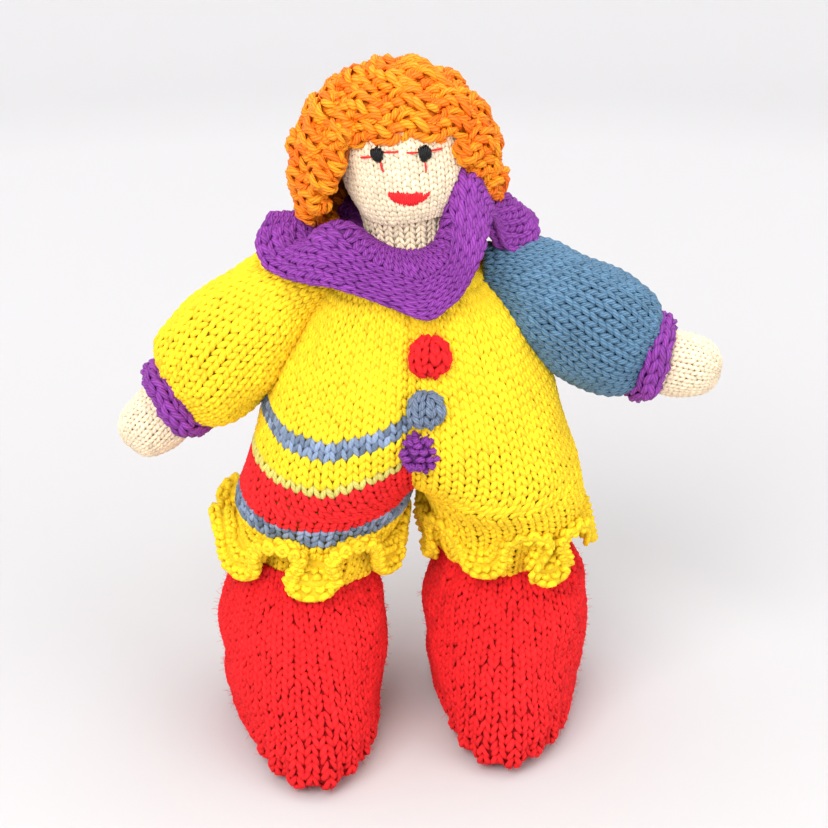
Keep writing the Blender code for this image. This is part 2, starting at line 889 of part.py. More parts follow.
build()
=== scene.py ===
"""Looks of the knitted clown doll: every visible stitch is a short length of yarn laid on a smooth surface.

Shapes are worked out in millimetres in the doll's own frame, whose origin is on the floor under the neck
joint, with the doll facing -Y, and are turned into the frame's metres at the end.
"""

import json
import math

import bpy
import numpy as np
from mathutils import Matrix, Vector


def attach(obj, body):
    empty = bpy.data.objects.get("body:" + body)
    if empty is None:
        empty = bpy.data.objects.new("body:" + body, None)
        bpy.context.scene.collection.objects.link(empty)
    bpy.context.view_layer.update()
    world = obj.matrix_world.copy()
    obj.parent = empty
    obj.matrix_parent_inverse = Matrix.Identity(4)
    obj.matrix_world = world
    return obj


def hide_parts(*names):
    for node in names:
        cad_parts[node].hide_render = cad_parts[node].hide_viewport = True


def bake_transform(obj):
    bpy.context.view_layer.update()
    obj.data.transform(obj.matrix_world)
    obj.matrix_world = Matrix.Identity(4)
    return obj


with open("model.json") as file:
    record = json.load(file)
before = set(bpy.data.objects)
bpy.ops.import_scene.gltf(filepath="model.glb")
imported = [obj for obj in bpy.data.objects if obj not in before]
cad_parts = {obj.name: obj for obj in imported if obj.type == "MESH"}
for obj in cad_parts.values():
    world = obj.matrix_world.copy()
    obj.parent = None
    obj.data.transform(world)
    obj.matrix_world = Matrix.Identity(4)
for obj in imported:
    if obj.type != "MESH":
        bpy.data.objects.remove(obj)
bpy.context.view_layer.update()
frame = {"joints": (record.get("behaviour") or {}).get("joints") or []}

MM = 0.001
JOINTS = {joint["name"]: joint for joint in frame["joints"]}
NECK = np.array(JOINTS["neck_turn"]["pos_m"]) / MM
ORIGIN = np.array([NECK[0], NECK[1], 0.0])
SIDES = {"left": 1, "right": -1}

# Yarn and gauge, in millimetres.
MAIN_YARN = 2.3
MAIN_ROW = 3.85
FINE_YARN = 1.55
FINE_ROW = 2.5

# Linear colours of the yarns.
YELLOW = (1.0, 0.70, 0.022)
RED = (0.84, 0.018, 0.022)
BLUE = (0.11, 0.225, 0.35)
MARL = (0.19, 0.25, 0.36)
LIME = (0.66, 0.60, 0.15)
PURPLE = (0.27, 0.046, 0.35)
CREAM = (0.86, 0.72, 0.52)
ORANGE = (0.96, 0.25, 0.006)
BLACK = (0.006, 0.006, 0.007)
STUFFING = (0.82, 0.80, 0.76)


def joint_place(name):
    """A joint's position in the doll's millimetres."""
    return np.array(JOINTS[name]["pos_m"]) / MM - ORIGIN


def to_frame(points):
    return (np.asarray(points, float) + ORIGIN) * MM


# ---------------------------------------------------------------- curves and surfaces


def spline(knots, values, at):
    """A smooth curve through values at the knots, by cubic pieces with averaged slopes."""
    knots = np.asarray(knots, float)
    values = np.asarray(values, float)
    at = np.clip(np.asarray(at, float), knots[0], knots[-1])
    slopes = np.gradient(values, knots, axis=0)
    i = np.clip(np.searchsorted(knots, at) - 1, 0, len(knots) - 2)
    h = knots[i + 1] - knots[i]
    t = (at - knots[i]) / h
    if values.ndim > 1:
        h = h[..., None]
        t = t[..., None]
    a, b = values[i], values[i + 1]
    p, q = slopes[i] * h, slopes[i + 1] * h
    return a + p * t + (3 * (b - a) - 2 * p - q) * t**2 + (2 * (a - b) + p + q) * t**3


def ease(x):
    """From 0 to 1 with a soft start and end."""
    x = np.clip(x, 0.0, 1.0)
    return x * x * (3 - 2 * x)


def unit(v):
    return v / np.maximum(np.linalg.norm(v, axis=-1, keepdims=True), 1e-9)


def even(points, axis, count):
    """The grid read again at even steps of length along one axis, each line on its own."""
    points = np.moveaxis(points, axis, 0)
    steps = np.linalg.norm(np.diff(points, axis=0), axis=-1)
    length = np.concatenate([np.zeros((1,) + steps.shape[1:]), np.cumsum(steps, 0)])
    flat = points.reshape(points.shape[0], -1, 3)
    ruler = length.reshape(length.shape[0], -1)
    out = np.empty((count, flat.shape[1], 3))
    for k in range(flat.shape[1]):
        at = np.linspace(0, ruler[-1, k], count)
        for c in range(3):
            out[:, k, c] = np.interp(at, ruler[:, k], flat[:, k, c])
    return np.moveaxis(out.reshape((count,) + points.shape[1:]), 0, axis)


def loop(points, count):
    """A smooth closed curve through the points, at count + 1 even steps of their own numbering."""
    points = np.asarray(points, float)
    n = len(points)
    wide = np.concatenate([points[-3:], points, points[:4]])
    return spline(np.arange(-3, n + 4), wide, np.linspace(0, n, count + 1))


def tube_surface(centres, across, second, wide, deep, steps):
    """A closed surface of ovals round a line. across and second are each oval's two directions."""
    turn = np.linspace(0, 2 * np.pi, steps + 1)[:, None]
    points = (
        centres[None]
        + across[None] * (np.cos(turn) * wide[None])[..., None]
        + second[None] * (np.sin(turn) * deep[None])[..., None]
    )
    return outward(points)


def level_ovals(centres, deep, wide, steps):
    """A closed surface of level ovals round a line, with its seam at the back."""
    back = np.broadcast_to([0.0, 1.0, 0.0], centres.shape)
    right = np.broadcast_to([1.0, 0.0, 0.0], centres.shape)
    return tube_surface(centres, back, right, deep, wide, steps)


def outward(points, closed=True):
    """A surface whose normals point away from its middle."""
    made = Surface(points, closed=closed)
    away = made.points - made.points.mean(0, keepdims=True)
    flip = (made.normals * away).sum(-1).mean() < 0
    return Surface(points, closed=closed, flip=flip)


def wobble(surface, *waves):
    """The surface pushed in and out by waves of (size in mm, turns along u, turns along v, phase)."""
    nu, nv, _ = surface.points.shape
    u = np.linspace(0, 1, nu)[:, None]
    v = np.linspace(0, 1, nv)[None]
    push = sum(size * np.sin(2 * np.pi * (a * u + b * v + c)) for size, a, b, c in waves)
    return surface.pushed(push)


class Surface:
    """A smooth surface as a fine grid of points, u along the first axis and v along the second."""

    def __init__(self, points, closed=False, flip=False):
        self.points = np.asarray(points, float)
        self.closed = closed
        self.flip = flip
        p = self.points
        if closed:
            wide = np.concatenate([p[-2:-1], p, p[1:2]])
            du = (wide[2:] - wide[:-2]) / 2
        else:
            du = np.gradient(p, axis=0)
        dv = np.gradient(p, axis=1)
        self.normals = unit(np.cross(du, dv)) * (-1 if flip else 1)
        self.girth = np.linalg.norm(np.diff(p, axis=0), axis=-1).sum(0)
        self.length = np.linalg.norm(np.diff(p, axis=1), axis=-1).sum(1)

    def pushed(self, out):
        """The surface moved out along its normals, by one distance or by one for each point."""
        return Surface(self.points + self.normals * np.asarray(out)[..., None], self.closed, self.flip)

    def read(self, grid, u, v):
        """The grid's values between its points, at shares u and v of its two lengths."""
        nu, nv = grid.shape[0] - 1, grid.shape[1] - 1
        u = np.mod(u, 1.0) if self.closed else np.clip(u, 0, 1)
        x = u * nu
        y = np.clip(v, 0, 1) * nv
        i = np.clip(x.astype(int), 0, nu - 1)
        j = np.clip(y.astype(int), 0, nv - 1)
        fx = (x - i)[..., None]
        fy = (y - j)[..., None]
        low = grid[i, j] * (1 - fx) + grid[i + 1, j] * fx
        high = grid[i, j + 1] * (1 - fx) + grid[i + 1, j + 1] * fx
        return low * (1 - fy) + high * fy

    def at(self, u, v):
        return self.read(self.points, u, v)

    def normal(self, u, v):
        return unit(self.read(self.normals, u, v))

    def spread(self, u, v, wales, rows):
        """The local size of one stitch, across and along."""
        step = 0.25
        a = self.at(u + step / wales, v) - self.at(u - step / wales, v)
        b = self.at(u, v + step / rows) - self.at(u, v - step / rows)
        across = np.linalg.norm(a, axis=-1) / (2 * step)
        along = np.linalg.norm(b, axis=-1) / (2 * step)
        return across, along


# ---------------------------------------------------------------- meshes


def corners(*pairs):
    """The map places of each face's corners, from the two coordinates of each corner."""
    return np.stack([np.stack(pair, -1) for pair in pairs], -2)


class Parts:
    """Vertices, faces, tints and yarn coordinates that become one object."""

    def __init__(self):
        self.points = []
        self.quads = []
        self.quad_uv = []
        self.quad_cell = []
        self.tris = []
        self.tri_uv = []
        self.tri_cell = []
        self.tints = []
        self.count = 0
        self.cells = 0

    def add(self, points, tints):
        self.points.append(points.reshape(-1, 3))
        self.tints.append(tints.reshape(-1, 3))
        first = self.count
        self.count += points.reshape(-1, 3).shape[0]
        return first

    def add_quads(self, quads, uv=None, cell=None):
        """Four-sided faces, with their place on the yarn where they are on it."""
        quads = quads.reshape(-1, 4)
        self.quads.append(quads)
        self.quad_uv.append(np.full((len(quads), 4, 2), 0.5) if uv is None else uv.reshape(-1, 4, 2))
        self.quad_cell.append(np.full(len(quads), -1) if cell is None else cell.reshape(-1))

    def tubes(self, lines, normals, wide, deep, tint, sides=6):
        """Closed lengths of yarn along lines [n, k, 3], flattened against the surface under them."""
        n, k, _ = lines.shape
        along = unit(np.gradient(lines, axis=1))
        across = unit(np.cross(normals, along))
        up = unit(np.cross(along, across))
        turn = 2 * np.pi * np.arange(sides) / sides
        ring = (
            lines[:, :, None]
            + across[:, :, None] * (wide[..., None, None] * np.cos(turn)[:, None])
            + up[:, :, None] * (deep[..., None, None] * np.sin(turn)[:, None])
        )
        cap = np.minimum(wide, deep)[:, [0, -1], None] * 0.55
        ends = [lines[:, 0] - along[:, 0] * cap[:, 0], lines[:, -1] + along[:, -1] * cap[:, 1]]
        tint = np.broadcast_to(tint, (n, 3))
        first = self.add(ring, np.repeat(tint, k * sides, 0))
        tip = self.add(np.stack(ends, 1), np.repeat(tint, 2, 0))
        i, j, m = np.meshgrid(np.arange(n), np.arange(k - 1), np.arange(sides), indexing="ij")
        base = first + (i * k + j) * sides
        nxt = (m + 1) % sides
        quads = np.stack([base + m, base + nxt, base + sides + nxt, base + sides + m], -1)
        u0, u1 = j / (k - 1), (j + 1) / (k - 1)
        w0, w1 = m / sides, (m + 1) / sides
        uv = 0.08 + 0.84 * corners((u0, w0), (u0, w1), (u1, w1), (u1, w0))
        self.add_quads(quads, uv, self.cells + i)
        i, m = np.meshgrid(np.arange(n), np.arange(sides), indexing="ij")
        nxt = (m + 1) % sides
        for end, ring_at, at_u, tip_u in ((0, 0, 0.08, 0.0), (1, k - 1, 0.92, 1.0)):
            base = first + (i * k + ring_at) * sides
            point = tip + i * 2 + end
            order = [base + nxt, base + m, point] if end == 0 else [base + m, base + nxt, point]
            self.tris.append(np.stack(order, -1).reshape(-1, 3))
            w0, w1 = 0.08 + 0.84 * m / sides, 0.08 + 0.84 * (m + 1) / sides
            ring_u = np.full(m.shape, at_u)
            pair = [(ring_u, w1), (ring_u, w0)]
            uv = corners(*(pair[::-1] if end else pair), (np.full(m.shape, tip_u), (w0 + w1) / 2))
            self.tri_uv.append(uv.reshape(-1, 3, 2))
            self.tri_cell.append((self.cells + i).reshape(-1))
        self.cells += n

    def sheet(self, grid, tint, closed=False, flip=False):
        """A plain grid of faces; returns the vertex numbers."""
        nu, nv, _ = grid.shape
        if closed:
            grid = grid[:-1]
            nu -= 1
        first = self.add(grid, np.broadcast_to(tint, (nu * nv, 3)))
        index = first + np.arange(nu * nv).reshape(nu, nv)
        rows = nu if closed else nu - 1
        i, j = np.meshgrid(np.arange(rows), np.arange(nv - 1), indexing="ij")
        n = (i + 1) % nu
        quads = np.stack([index[i, j], index[n, j], index[n, j + 1], index[i, j + 1]], -1)
        if flip:
            quads = quads[..., ::-1]
        u0, u1 = i / rows, (i + 1) / rows
        v0, v1 = j / (nv - 1), (j + 1) / (nv - 1)
        uv = corners((u0, v0), (u1, v0), (u1, v1), (u0, v1))
        self.add_quads(quads, uv[..., ::-1, :] if flip else uv, np.full(i.size, -1))
        return index

    def fan(self, ring, tint, flip=False):
        """Closes a ring of vertices with triangles to its middle."""
        points = np.concatenate(self.points)[ring]
        middle = self.add(points.mean(0)[None], np.asarray(tint, float)[None])
        nxt = np.roll(ring, -1)
        mid = np.full(len(ring), middle)
        tris = np.stack([nxt, ring, mid] if flip else [ring, nxt, mid], -1)
        self.tris.append(tris)
        self.tri_uv.append(np.full((len(ring), 3, 2), 0.5))
        self.tri_cell.append(np.full(len(ring), -1))

    def build(self, name, material):
        """The object, with a tint for each vertex, a map of the yarn and a map for baking."""
        points = to_frame(np.concatenate(self.points))
        quads = np.concatenate(self.quads) if self.quads else np.zeros((0, 4), int)
        tris = np.concatenate(self.tris) if self.tris else np.zeros((0, 3), int)
        mesh = bpy.data.meshes.new(name)
        mesh.vertices.add(len(points))
        mesh.vertices.foreach_set("co", points.astype(np.float32).ravel())
        loops = np.concatenate([quads.ravel(), tris.ravel()])
        mesh.loops.add(len(loops))
        mesh.loops.foreach_set("vertex_index", loops.astype(np.int32))
        mesh.polygons.add(len(quads) + len(tris))
        starts = np.concatenate([np.arange(len(quads)) * 4, len(quads) * 4 + np.arange(len(tris)) * 3])
        mesh.polygons.foreach_set("loop_start", starts.astype(np.int32))
        mesh.update(calc_edges=True)
        tint = mesh.color_attributes.new("tint", "FLOAT_COLOR", "POINT")
        tints = np.concatenate(self.tints)
        rgba = np.concatenate([tints, np.ones((len(tints), 1))], 1)
        tint.data.foreach_set("color", rgba.astype(np.float32).ravel())
        yarn = mesh.uv_layers.new(name="Yarn")
        uv = np.concatenate(
            [np.concatenate(part).reshape(-1, 2) for part in (self.quad_uv, self.tri_uv) if part]
        )
        yarn.data.foreach_set("uv", uv.astype(np.float32).ravel())
        cell = np.concatenate(
            [np.repeat(np.concatenate(self.quad_cell), 4)]
            + ([np.repeat(np.concatenate(self.tri_cell), 3)] if self.tri_cell else [])
        )
        bake = mesh.uv_layers.new(name="OFBake")
        bake.data.foreach_set("uv", self.bake_uv(uv, cell).astype(np.float32).ravel())
        mesh.validate()
        mesh.shade_smooth()
        mesh.materials.append(material)
        obj = bpy.data.objects.new(name, mesh)
        bpy.context.scene.collection.objects.link(obj)
        return obj

    def bake_uv(self, uv, cell):
        """Gives each length of yarn its own square of the bake, and the surface under them a strip below."""
        strip = 0.12
        side = max(1, math.ceil(math.sqrt(max(self.cells, 1))))
        x = (cell % side + 0.06 + 0.88 * uv[:, 0]) / side
        y = strip + (1 - strip) * (cell // side + 0.06 + 0.88 * uv[:, 1]) / side
        low = cell < 0
        x = np.where(low, uv[:, 0], x)
        y = np.where(low, uv[:, 1] * strip * 0.9, y)
        return np.stack([x, y], 1)


# ---------------------------------------------------------------- stitches


def vary(rng, count, tint, amount=0.07):
    """A tint for each length of yarn, a little lighter or darker."""
    tint = np.broadcast_to(tint, (count, 3))
    return tint * (1 + amount * rng.standard_normal((count, 1)))


def yarn_path(parts, surface, u, v, depth, size, yarn, tint, taper, flat=0.85, squeeze=0.31):
    """Lays lengths of yarn on the surface along u, v, at a depth over it."""
    normals = surface.normal(u, v)
    lines = surface.at(u, v) + normals * depth[..., None]
    wide = np.minimum(size[0] * squeeze, yarn * 0.56) * taper
    deep = np.full_like(wide, yarn * 0.5 * flat) * taper
    parts.tubes(lines, normals, wide, deep, tint)


def stockinette(parts, surface, wales, rows, yarn, tint, seed, slack=0.05):
    """The V-shaped faces of knit stitches. tint is a colour, or a function of u, v and the generator."""
    rng = np.random.default_rng(seed)
    i, j, s = np.meshgrid(np.arange(wales), np.arange(rows), np.array([-1.0, 1.0]), indexing="ij")
    i, j, s = (a.reshape(-1, 1).astype(float) for a in (i, j, s))
    n = len(i)
    t = np.linspace(0, 1, 5)[None]
    jog = slack * rng.standard_normal((n, 2))
    u = (i + 0.5 + s * (0.11 + 0.29 * ease(t)) + jog[:, :1] * 0.5) / wales
    v = (j + 0.5 + (-0.68 + 1.42 * t) + jog[:, 1:]) / rows
    if not surface.closed:
        u = np.clip(u, 0.002, 0.998)
    v = np.clip(v, 0.001, 0.999)
    size = surface.spread(u, v, wales, rows)
    depth = yarn * (-0.28 + 0.62 * np.sin(np.pi * (0.06 + 0.88 * t))) * np.ones_like(u)
    taper = (0.68 + 0.32 * np.sin(np.pi * t)) * np.ones_like(u)
    taper = taper * (1 + slack * rng.standard_normal((n, 1)))
    colour = tint((i + 0.5) / wales, (j + 0.5) / rows, rng) if callable(tint) else vary(rng, n, tint)
    yarn_path(parts, surface, u, v, depth, size, yarn, colour, taper)


def garter(parts, surface, wales, rows, yarn, tint, seed, slack=0.06, lift=0.0):
    """Rows of purl bumps, each an arc, bowed up and down by turns."""
    rng = np.random.default_rng(seed)
    i, j = np.meshgrid(np.arange(wales), np.arange(rows), indexing="ij")
    i, j = (a.reshape(-1, 1).astype(float) for a in (i, j))
    n = len(i)
    t = np.linspace(0, 1, 5)[None]
    bow = np.where(np.mod(j, 2) == 0, 1.0, -1.0)
    jog = slack * rng.standard_normal((n, 2))
    u = (i + 0.5 + 0.5 * np.mod(j, 2) + 0.74 * (t - 0.5) + jog[:, :1]) / wales
    v = (j + 0.5 + bow * 0.34 * (np.sin(np.pi * t) - 0.5) + jog[:, 1:]) / rows
    if not surface.closed:
        u = np.clip(u, 0.002, 0.998)
    v = np.clip(v, 0.01, 0.99)
    size = surface.spread(u, v, wales, rows)
    depth = yarn * (lift - 0.30 + 0.72 * np.sin(np.pi * t)) * np.ones_like(u)
    taper = (0.68 + 0.32 * np.sin(np.pi * t)) * np.ones_like(u)
    colour = vary(rng, n, tint)
    wide = np.minimum(size[1] * 1.15, yarn * 1.2)
    yarn_path(parts, surface, u, v, depth, (wide, wide), yarn, colour, taper, 0.95, 0.46)


def backing(parts, surface, tint, inset, count=(48, 48), thick=None, painted_shade=0.55):
    """The closed body under the stitches: a filled form, or a thin sheet where a thickness is given. Its
    colour is the tint darkened by the shade factor, which is painted shade for the gaps between the stitches.
    """
    nu, nv = count
    u, v = np.meshgrid(np.linspace(0, 1, nu), np.linspace(0, 1, nv), indexing="ij")
    if surface.closed:
        u[-1] = 1.0
    at_u = np.minimum(u, 0.999999) if surface.closed else u
    top = surface.at(at_u, v) - surface.normal(at_u, v) * inset
    # The tint is darkened here: painted shade that shows in the gaps between the stitches.
    tint = np.asarray(tint) * painted_shade
    turned = surface.flip
    if thick is None:
        index = parts.sheet(top, tint, closed=surface.closed, flip=turned)
        if not surface.closed:
            a, b = index[-1], index[0]
            quads = np.stack([a[:-1], b[:-1], b[1:], a[1:]], -1)
            parts.add_quads(quads[..., ::-1] if turned else quads)
        parts.fan(index[:, 0], tint, flip=not turned)
        parts.fan(index[:, -1], tint, flip=turned)
        return
    low = surface.at(at_u, v) - surface.normal(at_u, v) * (inset + thick)
    over = parts.sheet(top, tint, closed=surface.closed, flip=turned)
    under = parts.sheet(low, tint, closed=surface.closed, flip=not turned)
    edges = [(over[:, 0], under[:, 0], True), (over[:, -1], under[:, -1], False)]
    if not surface.closed:
        edges += [(over[0], under[0], False), (over[-1], under[-1], True)]
    for a, b, flip in edges:
        a2, b2 = (np.roll(a, -1), np.roll(b, -1)) if surface.closed else (a[1:], b[1:])
        a1, b1 = (a, b) if surface.closed else (a[:-1], b[:-1])
        parts.add_quads(np.stack([a1, b1, b2, a2] if flip != turned else [a1, a2, b2, b1], -1))


# ---------------------------------------------------------------- materials


def link(tree, source, target):
    tree.links.new(source, target)


def math_node(tree, operation, a, b=None):
    node = tree.nodes.new("ShaderNodeMath")
    node.operation = operation
    for socket, value in zip(node.inputs, (a, b)):
        if value is None:
            continue
        if isinstance(value, (int, float)):
            socket.default_value = value
        else:
            link(tree, value, socket)
    return node.outputs[0]


def yarn_material(name, roughness=0.8, sheen=0.35, ply_relief_and_shade=0.35, fuzz=0.5, plies=2.0, turns=1.6, mottle=0.14):
    """Plied yarn, coloured by each stitch's tint, with its plies run round the stitch and rough fibres, and
    painted shade in the grooves between the plies.
    """
    made = bpy.data.materials.new(name)
    made.use_nodes = True
    tree = made.node_tree
    shader = tree.nodes["Principled BSDF"]
    shader.inputs["Roughness"].default_value = roughness
    shader.inputs["Sheen Weight"].default_value = sheen
    shader.inputs["Sheen Roughness"].default_value = 0.45
    shader.inputs["Specular IOR Level"].default_value = 0.25
    tint = tree.nodes.new("ShaderNodeAttribute")
    tint.attribute_name = "tint"
    where = tree.nodes.new("ShaderNodeTexCoord")
    uv = tree.nodes.new("ShaderNodeUVMap")
    uv.uv_map = "Yarn"
    split = tree.nodes.new("ShaderNodeSeparateXYZ")
    link(tree, uv.outputs[0], split.inputs[0])
    around = math_node(tree, "MULTIPLY", split.outputs[1], plies)
    along = math_node(tree, "MULTIPLY", split.outputs[0], turns)
    phase = math_node(tree, "ADD", around, along)
    wave = math_node(tree, "SINE", math_node(tree, "MULTIPLY", phase, 2 * math.pi))
    groove = math_node(tree, "POWER", math_node(tree, "ABSOLUTE", wave), 0.5)
    fibre = tree.nodes.new("ShaderNodeTexNoise")
    fibre.inputs["Scale"].default_value = 2600
    fibre.inputs["Detail"].default_value = 3
    link(tree, where.outputs["Object"], fibre.inputs["Vector"])
    patch = tree.nodes.new("ShaderNodeTexNoise")
    patch.inputs["Scale"].default_value = 140
    patch.inputs["Detail"].default_value = 2
    link(tree, where.outputs["Object"], patch.inputs["Vector"])
    light = math_node(tree, "MULTIPLY", math_node(tree, "SUBTRACT", patch.outputs[0], 0.5), mottle * 2)
    fine = math_node(tree, "MULTIPLY", math_node(tree, "SUBTRACT", fibre.outputs[0], 0.5), mottle * 2.2)
    # Darkens the colour in the grooves between the plies: painted shade, on top of the bump.
    painted_groove_shade = math_node(tree, "MULTIPLY", math_node(tree, "SUBTRACT", groove, 1.0), min(0.22 * ply_relief_and_shade / 0.35, 0.36))
    value = math_node(tree, "ADD", math_node(tree, "ADD", light, fine), math_node(tree, "ADD", painted_groove_shade, 1.04))
    mix = tree.nodes.new("ShaderNodeMix")
    mix.data_type = "RGBA"
    mix.blend_type = "MULTIPLY"
    mix.inputs["Factor"].default_value = 1.0
    link(tree, tint.outputs["Color"], mix.inputs["A"])
    link(tree, value, mix.inputs["B"])
    link(tree, mix.outputs["Result"], shader.inputs["Base Color"])
    link(tree, tint.outputs["Color"], shader.inputs["Sheen Tint"])
    height = math_node(
        tree,
        "ADD",
        math_node(tree, "MULTIPLY", groove, ply_relief_and_shade),
        math_node(tree, "MULTIPLY", fibre.outputs[0], fuzz),
    )
    bump = tree.nodes.new("ShaderNodeBump")
    bump.inputs["Strength"].default_value = 0.8
    bump.inputs["Distance"].default_value = 0.0005
    link(tree, height, bump.inputs["Height"])
    link(tree, bump.outputs[0], shader.inputs["Normal"])
    return made


WOOL = yarn_material("wool")
SHINY = yarn_material("shiny_yarn", roughness=0.5, sheen=0.2, ply_relief_and_shade=1.1, fuzz=0.3, plies=3.0, turns=1.7)
FLUFFY = yarn_material("fluffy_yarn", roughness=0.95, sheen=0.4, ply_relief_and_shade=0.12, fuzz=0.95, mottle=0.22)
FINE = yarn_material("fine_yarn", ply_relief_and_shade=0.25, fuzz=0.35, mottle=0.08)
BATTING = yarn_material("batting", roughness=0.95, sheen=0.5, ply_relief_and_shade=0.0, fuzz=1.0, mottle=0.1)
SATIN = yarn_material(
    "satin_thread", roughness=0.32, sheen=0.1, ply_relief_and_shade=0.1, fuzz=0.12, plies=1.0, turns=3.0, mottle=0.08
)


# ---------------------------------------------------------------- body halves with their legs

# Heights, the middle and half width of each half's oval, its half depth, and how far its middle stands back.
BODY = {
    "right": (
        # z, middle, half width, half depth, back
        (72, 43.5, 27.0, 27.0, -6.0),
        (78, 42.0, 29.0, 29.0, -5.0),
        (86, 40.0, 30.5, 31.0, -3.5),
        (98, 38.0, 35.0, 35.5, -1.5),
        (108, 35.0, 36.5, 38.5, 0.0),
        (118, 29.0, 40.0, 40.5, 0.0),
        (132, 20.5, 43.5, 41.0, 0.0),
        (146, 13.5, 46.0, 39.5, 0.0),
        (162, 7.0, 45.5, 36.5, 0.0),
        (176, 3.0, 42.5, 33.0, 0.0),
        (190, 0.5, 38.0, 28.5, 0.0),
        (200, 0.0, 31.5, 24.5, 0.0),
        (208, 0.0, 24.0, 20.5, 0.0),
        (214, 0.0, 18.5, 18.0, 0.0),
    ),
    "left": (
        (72, 40.0, 26.0, 27.0, 6.0),
        (78, 40.0, 28.0, 29.0, 5.0),
        (86, 40.5, 29.8, 31.0, 3.5),
        (98, 40.0, 32.0, 34.5, 1.5),
        (108, 36.0, 34.5, 38.0, 0.0),
        (118, 29.0, 40.0, 40.5, 0.0),
        (132, 20.5, 43.5, 41.0, 0.0),
        (146, 13.5, 46.0, 39.5, 0.0),
        (162, 8.0, 45.5, 36.5, 0.0),
        (176, 4.5, 43.0, 33.0, 0.0),
        (190, 0.5, 38.0, 28.5, 0.0),
        (200, 0.0, 30.0, 24.5, 0.0),
        (208, 0.0, 23.0, 20.5, 0.0),
        (214, 0.0, 18.5, 18.0, 0.0),
    ),
}
BODY_WALES = 36
STRIPES = (
    # lowest and highest row of the stripe, as heights, and its colour
    (139.0, 146.5, MARL),
    (123.5, 127.5, LIME),
    (104.0, 123.5, RED),
    (94.5, 104.0, MARL),
)


def body_surface(name, steps=(150, 170)):
    """One half of the body with its leg, from the front seam round the side to the back seam."""
    side = SIDES[name]
    table = np.array(BODY[name], float)
    z = np.linspace(table[0, 0], table[-1, 0], steps[1])
    middle, wide, deep, back = spline(table[:, 0], table[:, 1:], z).T
    seam = np.arccos(np.clip(-middle / wide, -1.0, 1.0))
    turn = np.linspace(-1, 1, 400)[:, None] * seam
    x = middle + wide * np.cos(turn)
    y = deep * np.sin(turn) + back
    x = np.maximum(x, 0.0)
    points = np.stack([side * x, y, np.broadcast_to(z, x.shape)], -1)
    points = even(points, 0, steps[0])
    climb = np.linalg.norm(np.diff(points, axis=1), axis=-1).mean(0)
    climb = np.concatenate([[0], np.cumsum(climb)]) / climb.sum()
    level = np.interp(np.linspace(0, 1, steps[1]), climb, np.linspace(0, 1, steps[1]))
    u = np.linspace(0, 1, steps[0])[:, None]
    level = level[None] - row_lift(u) * np.sin(np.pi * level[None]) ** 0.7
    surface = Surface(points, flip=side < 0)
    points = surface.at(np.broadcast_to(u, level.shape), level)
    surface = Surface(points, flip=side < 0)
    v = np.linspace(0, 1, steps[1])[None]
    height = points[..., 2]
    groove = np.exp(-((u / 0.022) ** 2)) + np.exp(-(((1 - u) / 0.022) ** 2))
    groove = groove * ease((height - 106) / 12)
    folds = 0.7 * np.sin(2 * np.pi * 13 * u) * ease((96 - height) / 14)
    sag = 0.8 * np.sin(2 * np.pi * (1.7 * u + 2.3 * v))
    sag = sag + 0.5 * np.sin(2 * np.pi * (4.1 * u - 3.2 * v + 0.3 * side))
    sag = sag * ease(np.minimum(u, 1 - u) / 0.06)
    points = points + surface.normals * (folds + sag)[..., None]
    points[..., 1] -= np.sign(points[..., 1]) * 2.2 * groove
    points[..., 0] = side * np.maximum(side * points[..., 0], 0.0)
    return Surface(points, flip=side < 0)


def row_lift(u):
    """How far the rows of the body climb above level, as a share of its length: down at the front seam."""
    around = (0, 0.08, 0.2, 0.32, 0.45, 0.62, 1)
    return np.interp(u, around, (-0.04, 0.012, 0.062, 0.052, 0.016, 0, 0))


def body_tint(name):
    """The tint of each stitch of one half of the body: yellow, and on the right half its stripes."""
    surface = BODY_SURFACES[name]

    def colour(u, v, rng):
        count = u.size
        tint = np.broadcast_to(np.array(YELLOW), (count, 3)).copy()
        if name == "right":
            z = surface.at(np.full_like(v, 0.45), v)[..., 2].ravel()
            for low, high, stripe in STRIPES:
                inside = (z > low) & (z <= high)
                tint[inside] = stripe
            grey = rng.uniform(0.55, 1.5, (count, 1))
            marled = np.all(np.isclose(tint, MARL), 1)
            tint[marled] *= grey[marled]
        return tint * (1 + 0.06 * rng.standard_normal((count, 1)))

    return colour


BODY_SURFACES = {name: body_surface(name) for name in SIDES}


def filling(name, surface, count=(32, 24), inset=MAIN_YARN * 0.42 + 1.8):
    """The stuffing inside a knitted part."""
    parts = Parts()
    backing(parts, surface, STUFFING, inset, count, painted_shade=1.0)
    piece = parts.build(name, BATTING)
    return piece


def make_body(name):
    surface = BODY_SURFACES[name]
    rows = int(round(surface.length[len(surface.length) // 2] / MAIN_ROW))
    parts = Parts()
    backing(parts, surface, YELLOW, MAIN_YARN * 0.42, (60, 60), thick=1.6)
    seed = 11 if name == "left" else 12
    stockinette(parts, surface, BODY_WALES, rows, MAIN_YARN, body_tint(name), seed)
    piece = parts.build(f"body_half_{name}", WOOL)
    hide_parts(f"torso_cover_{name}", f"leg_cover_{name}")
    core = filling(f"body_filling_{name}", surface, (40, 40))
    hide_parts(f"leg_stuffing_{name}", "torso_stuffing")
    for each in (piece, core):
        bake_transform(each)


# ---------------------------------------------------------------- arms

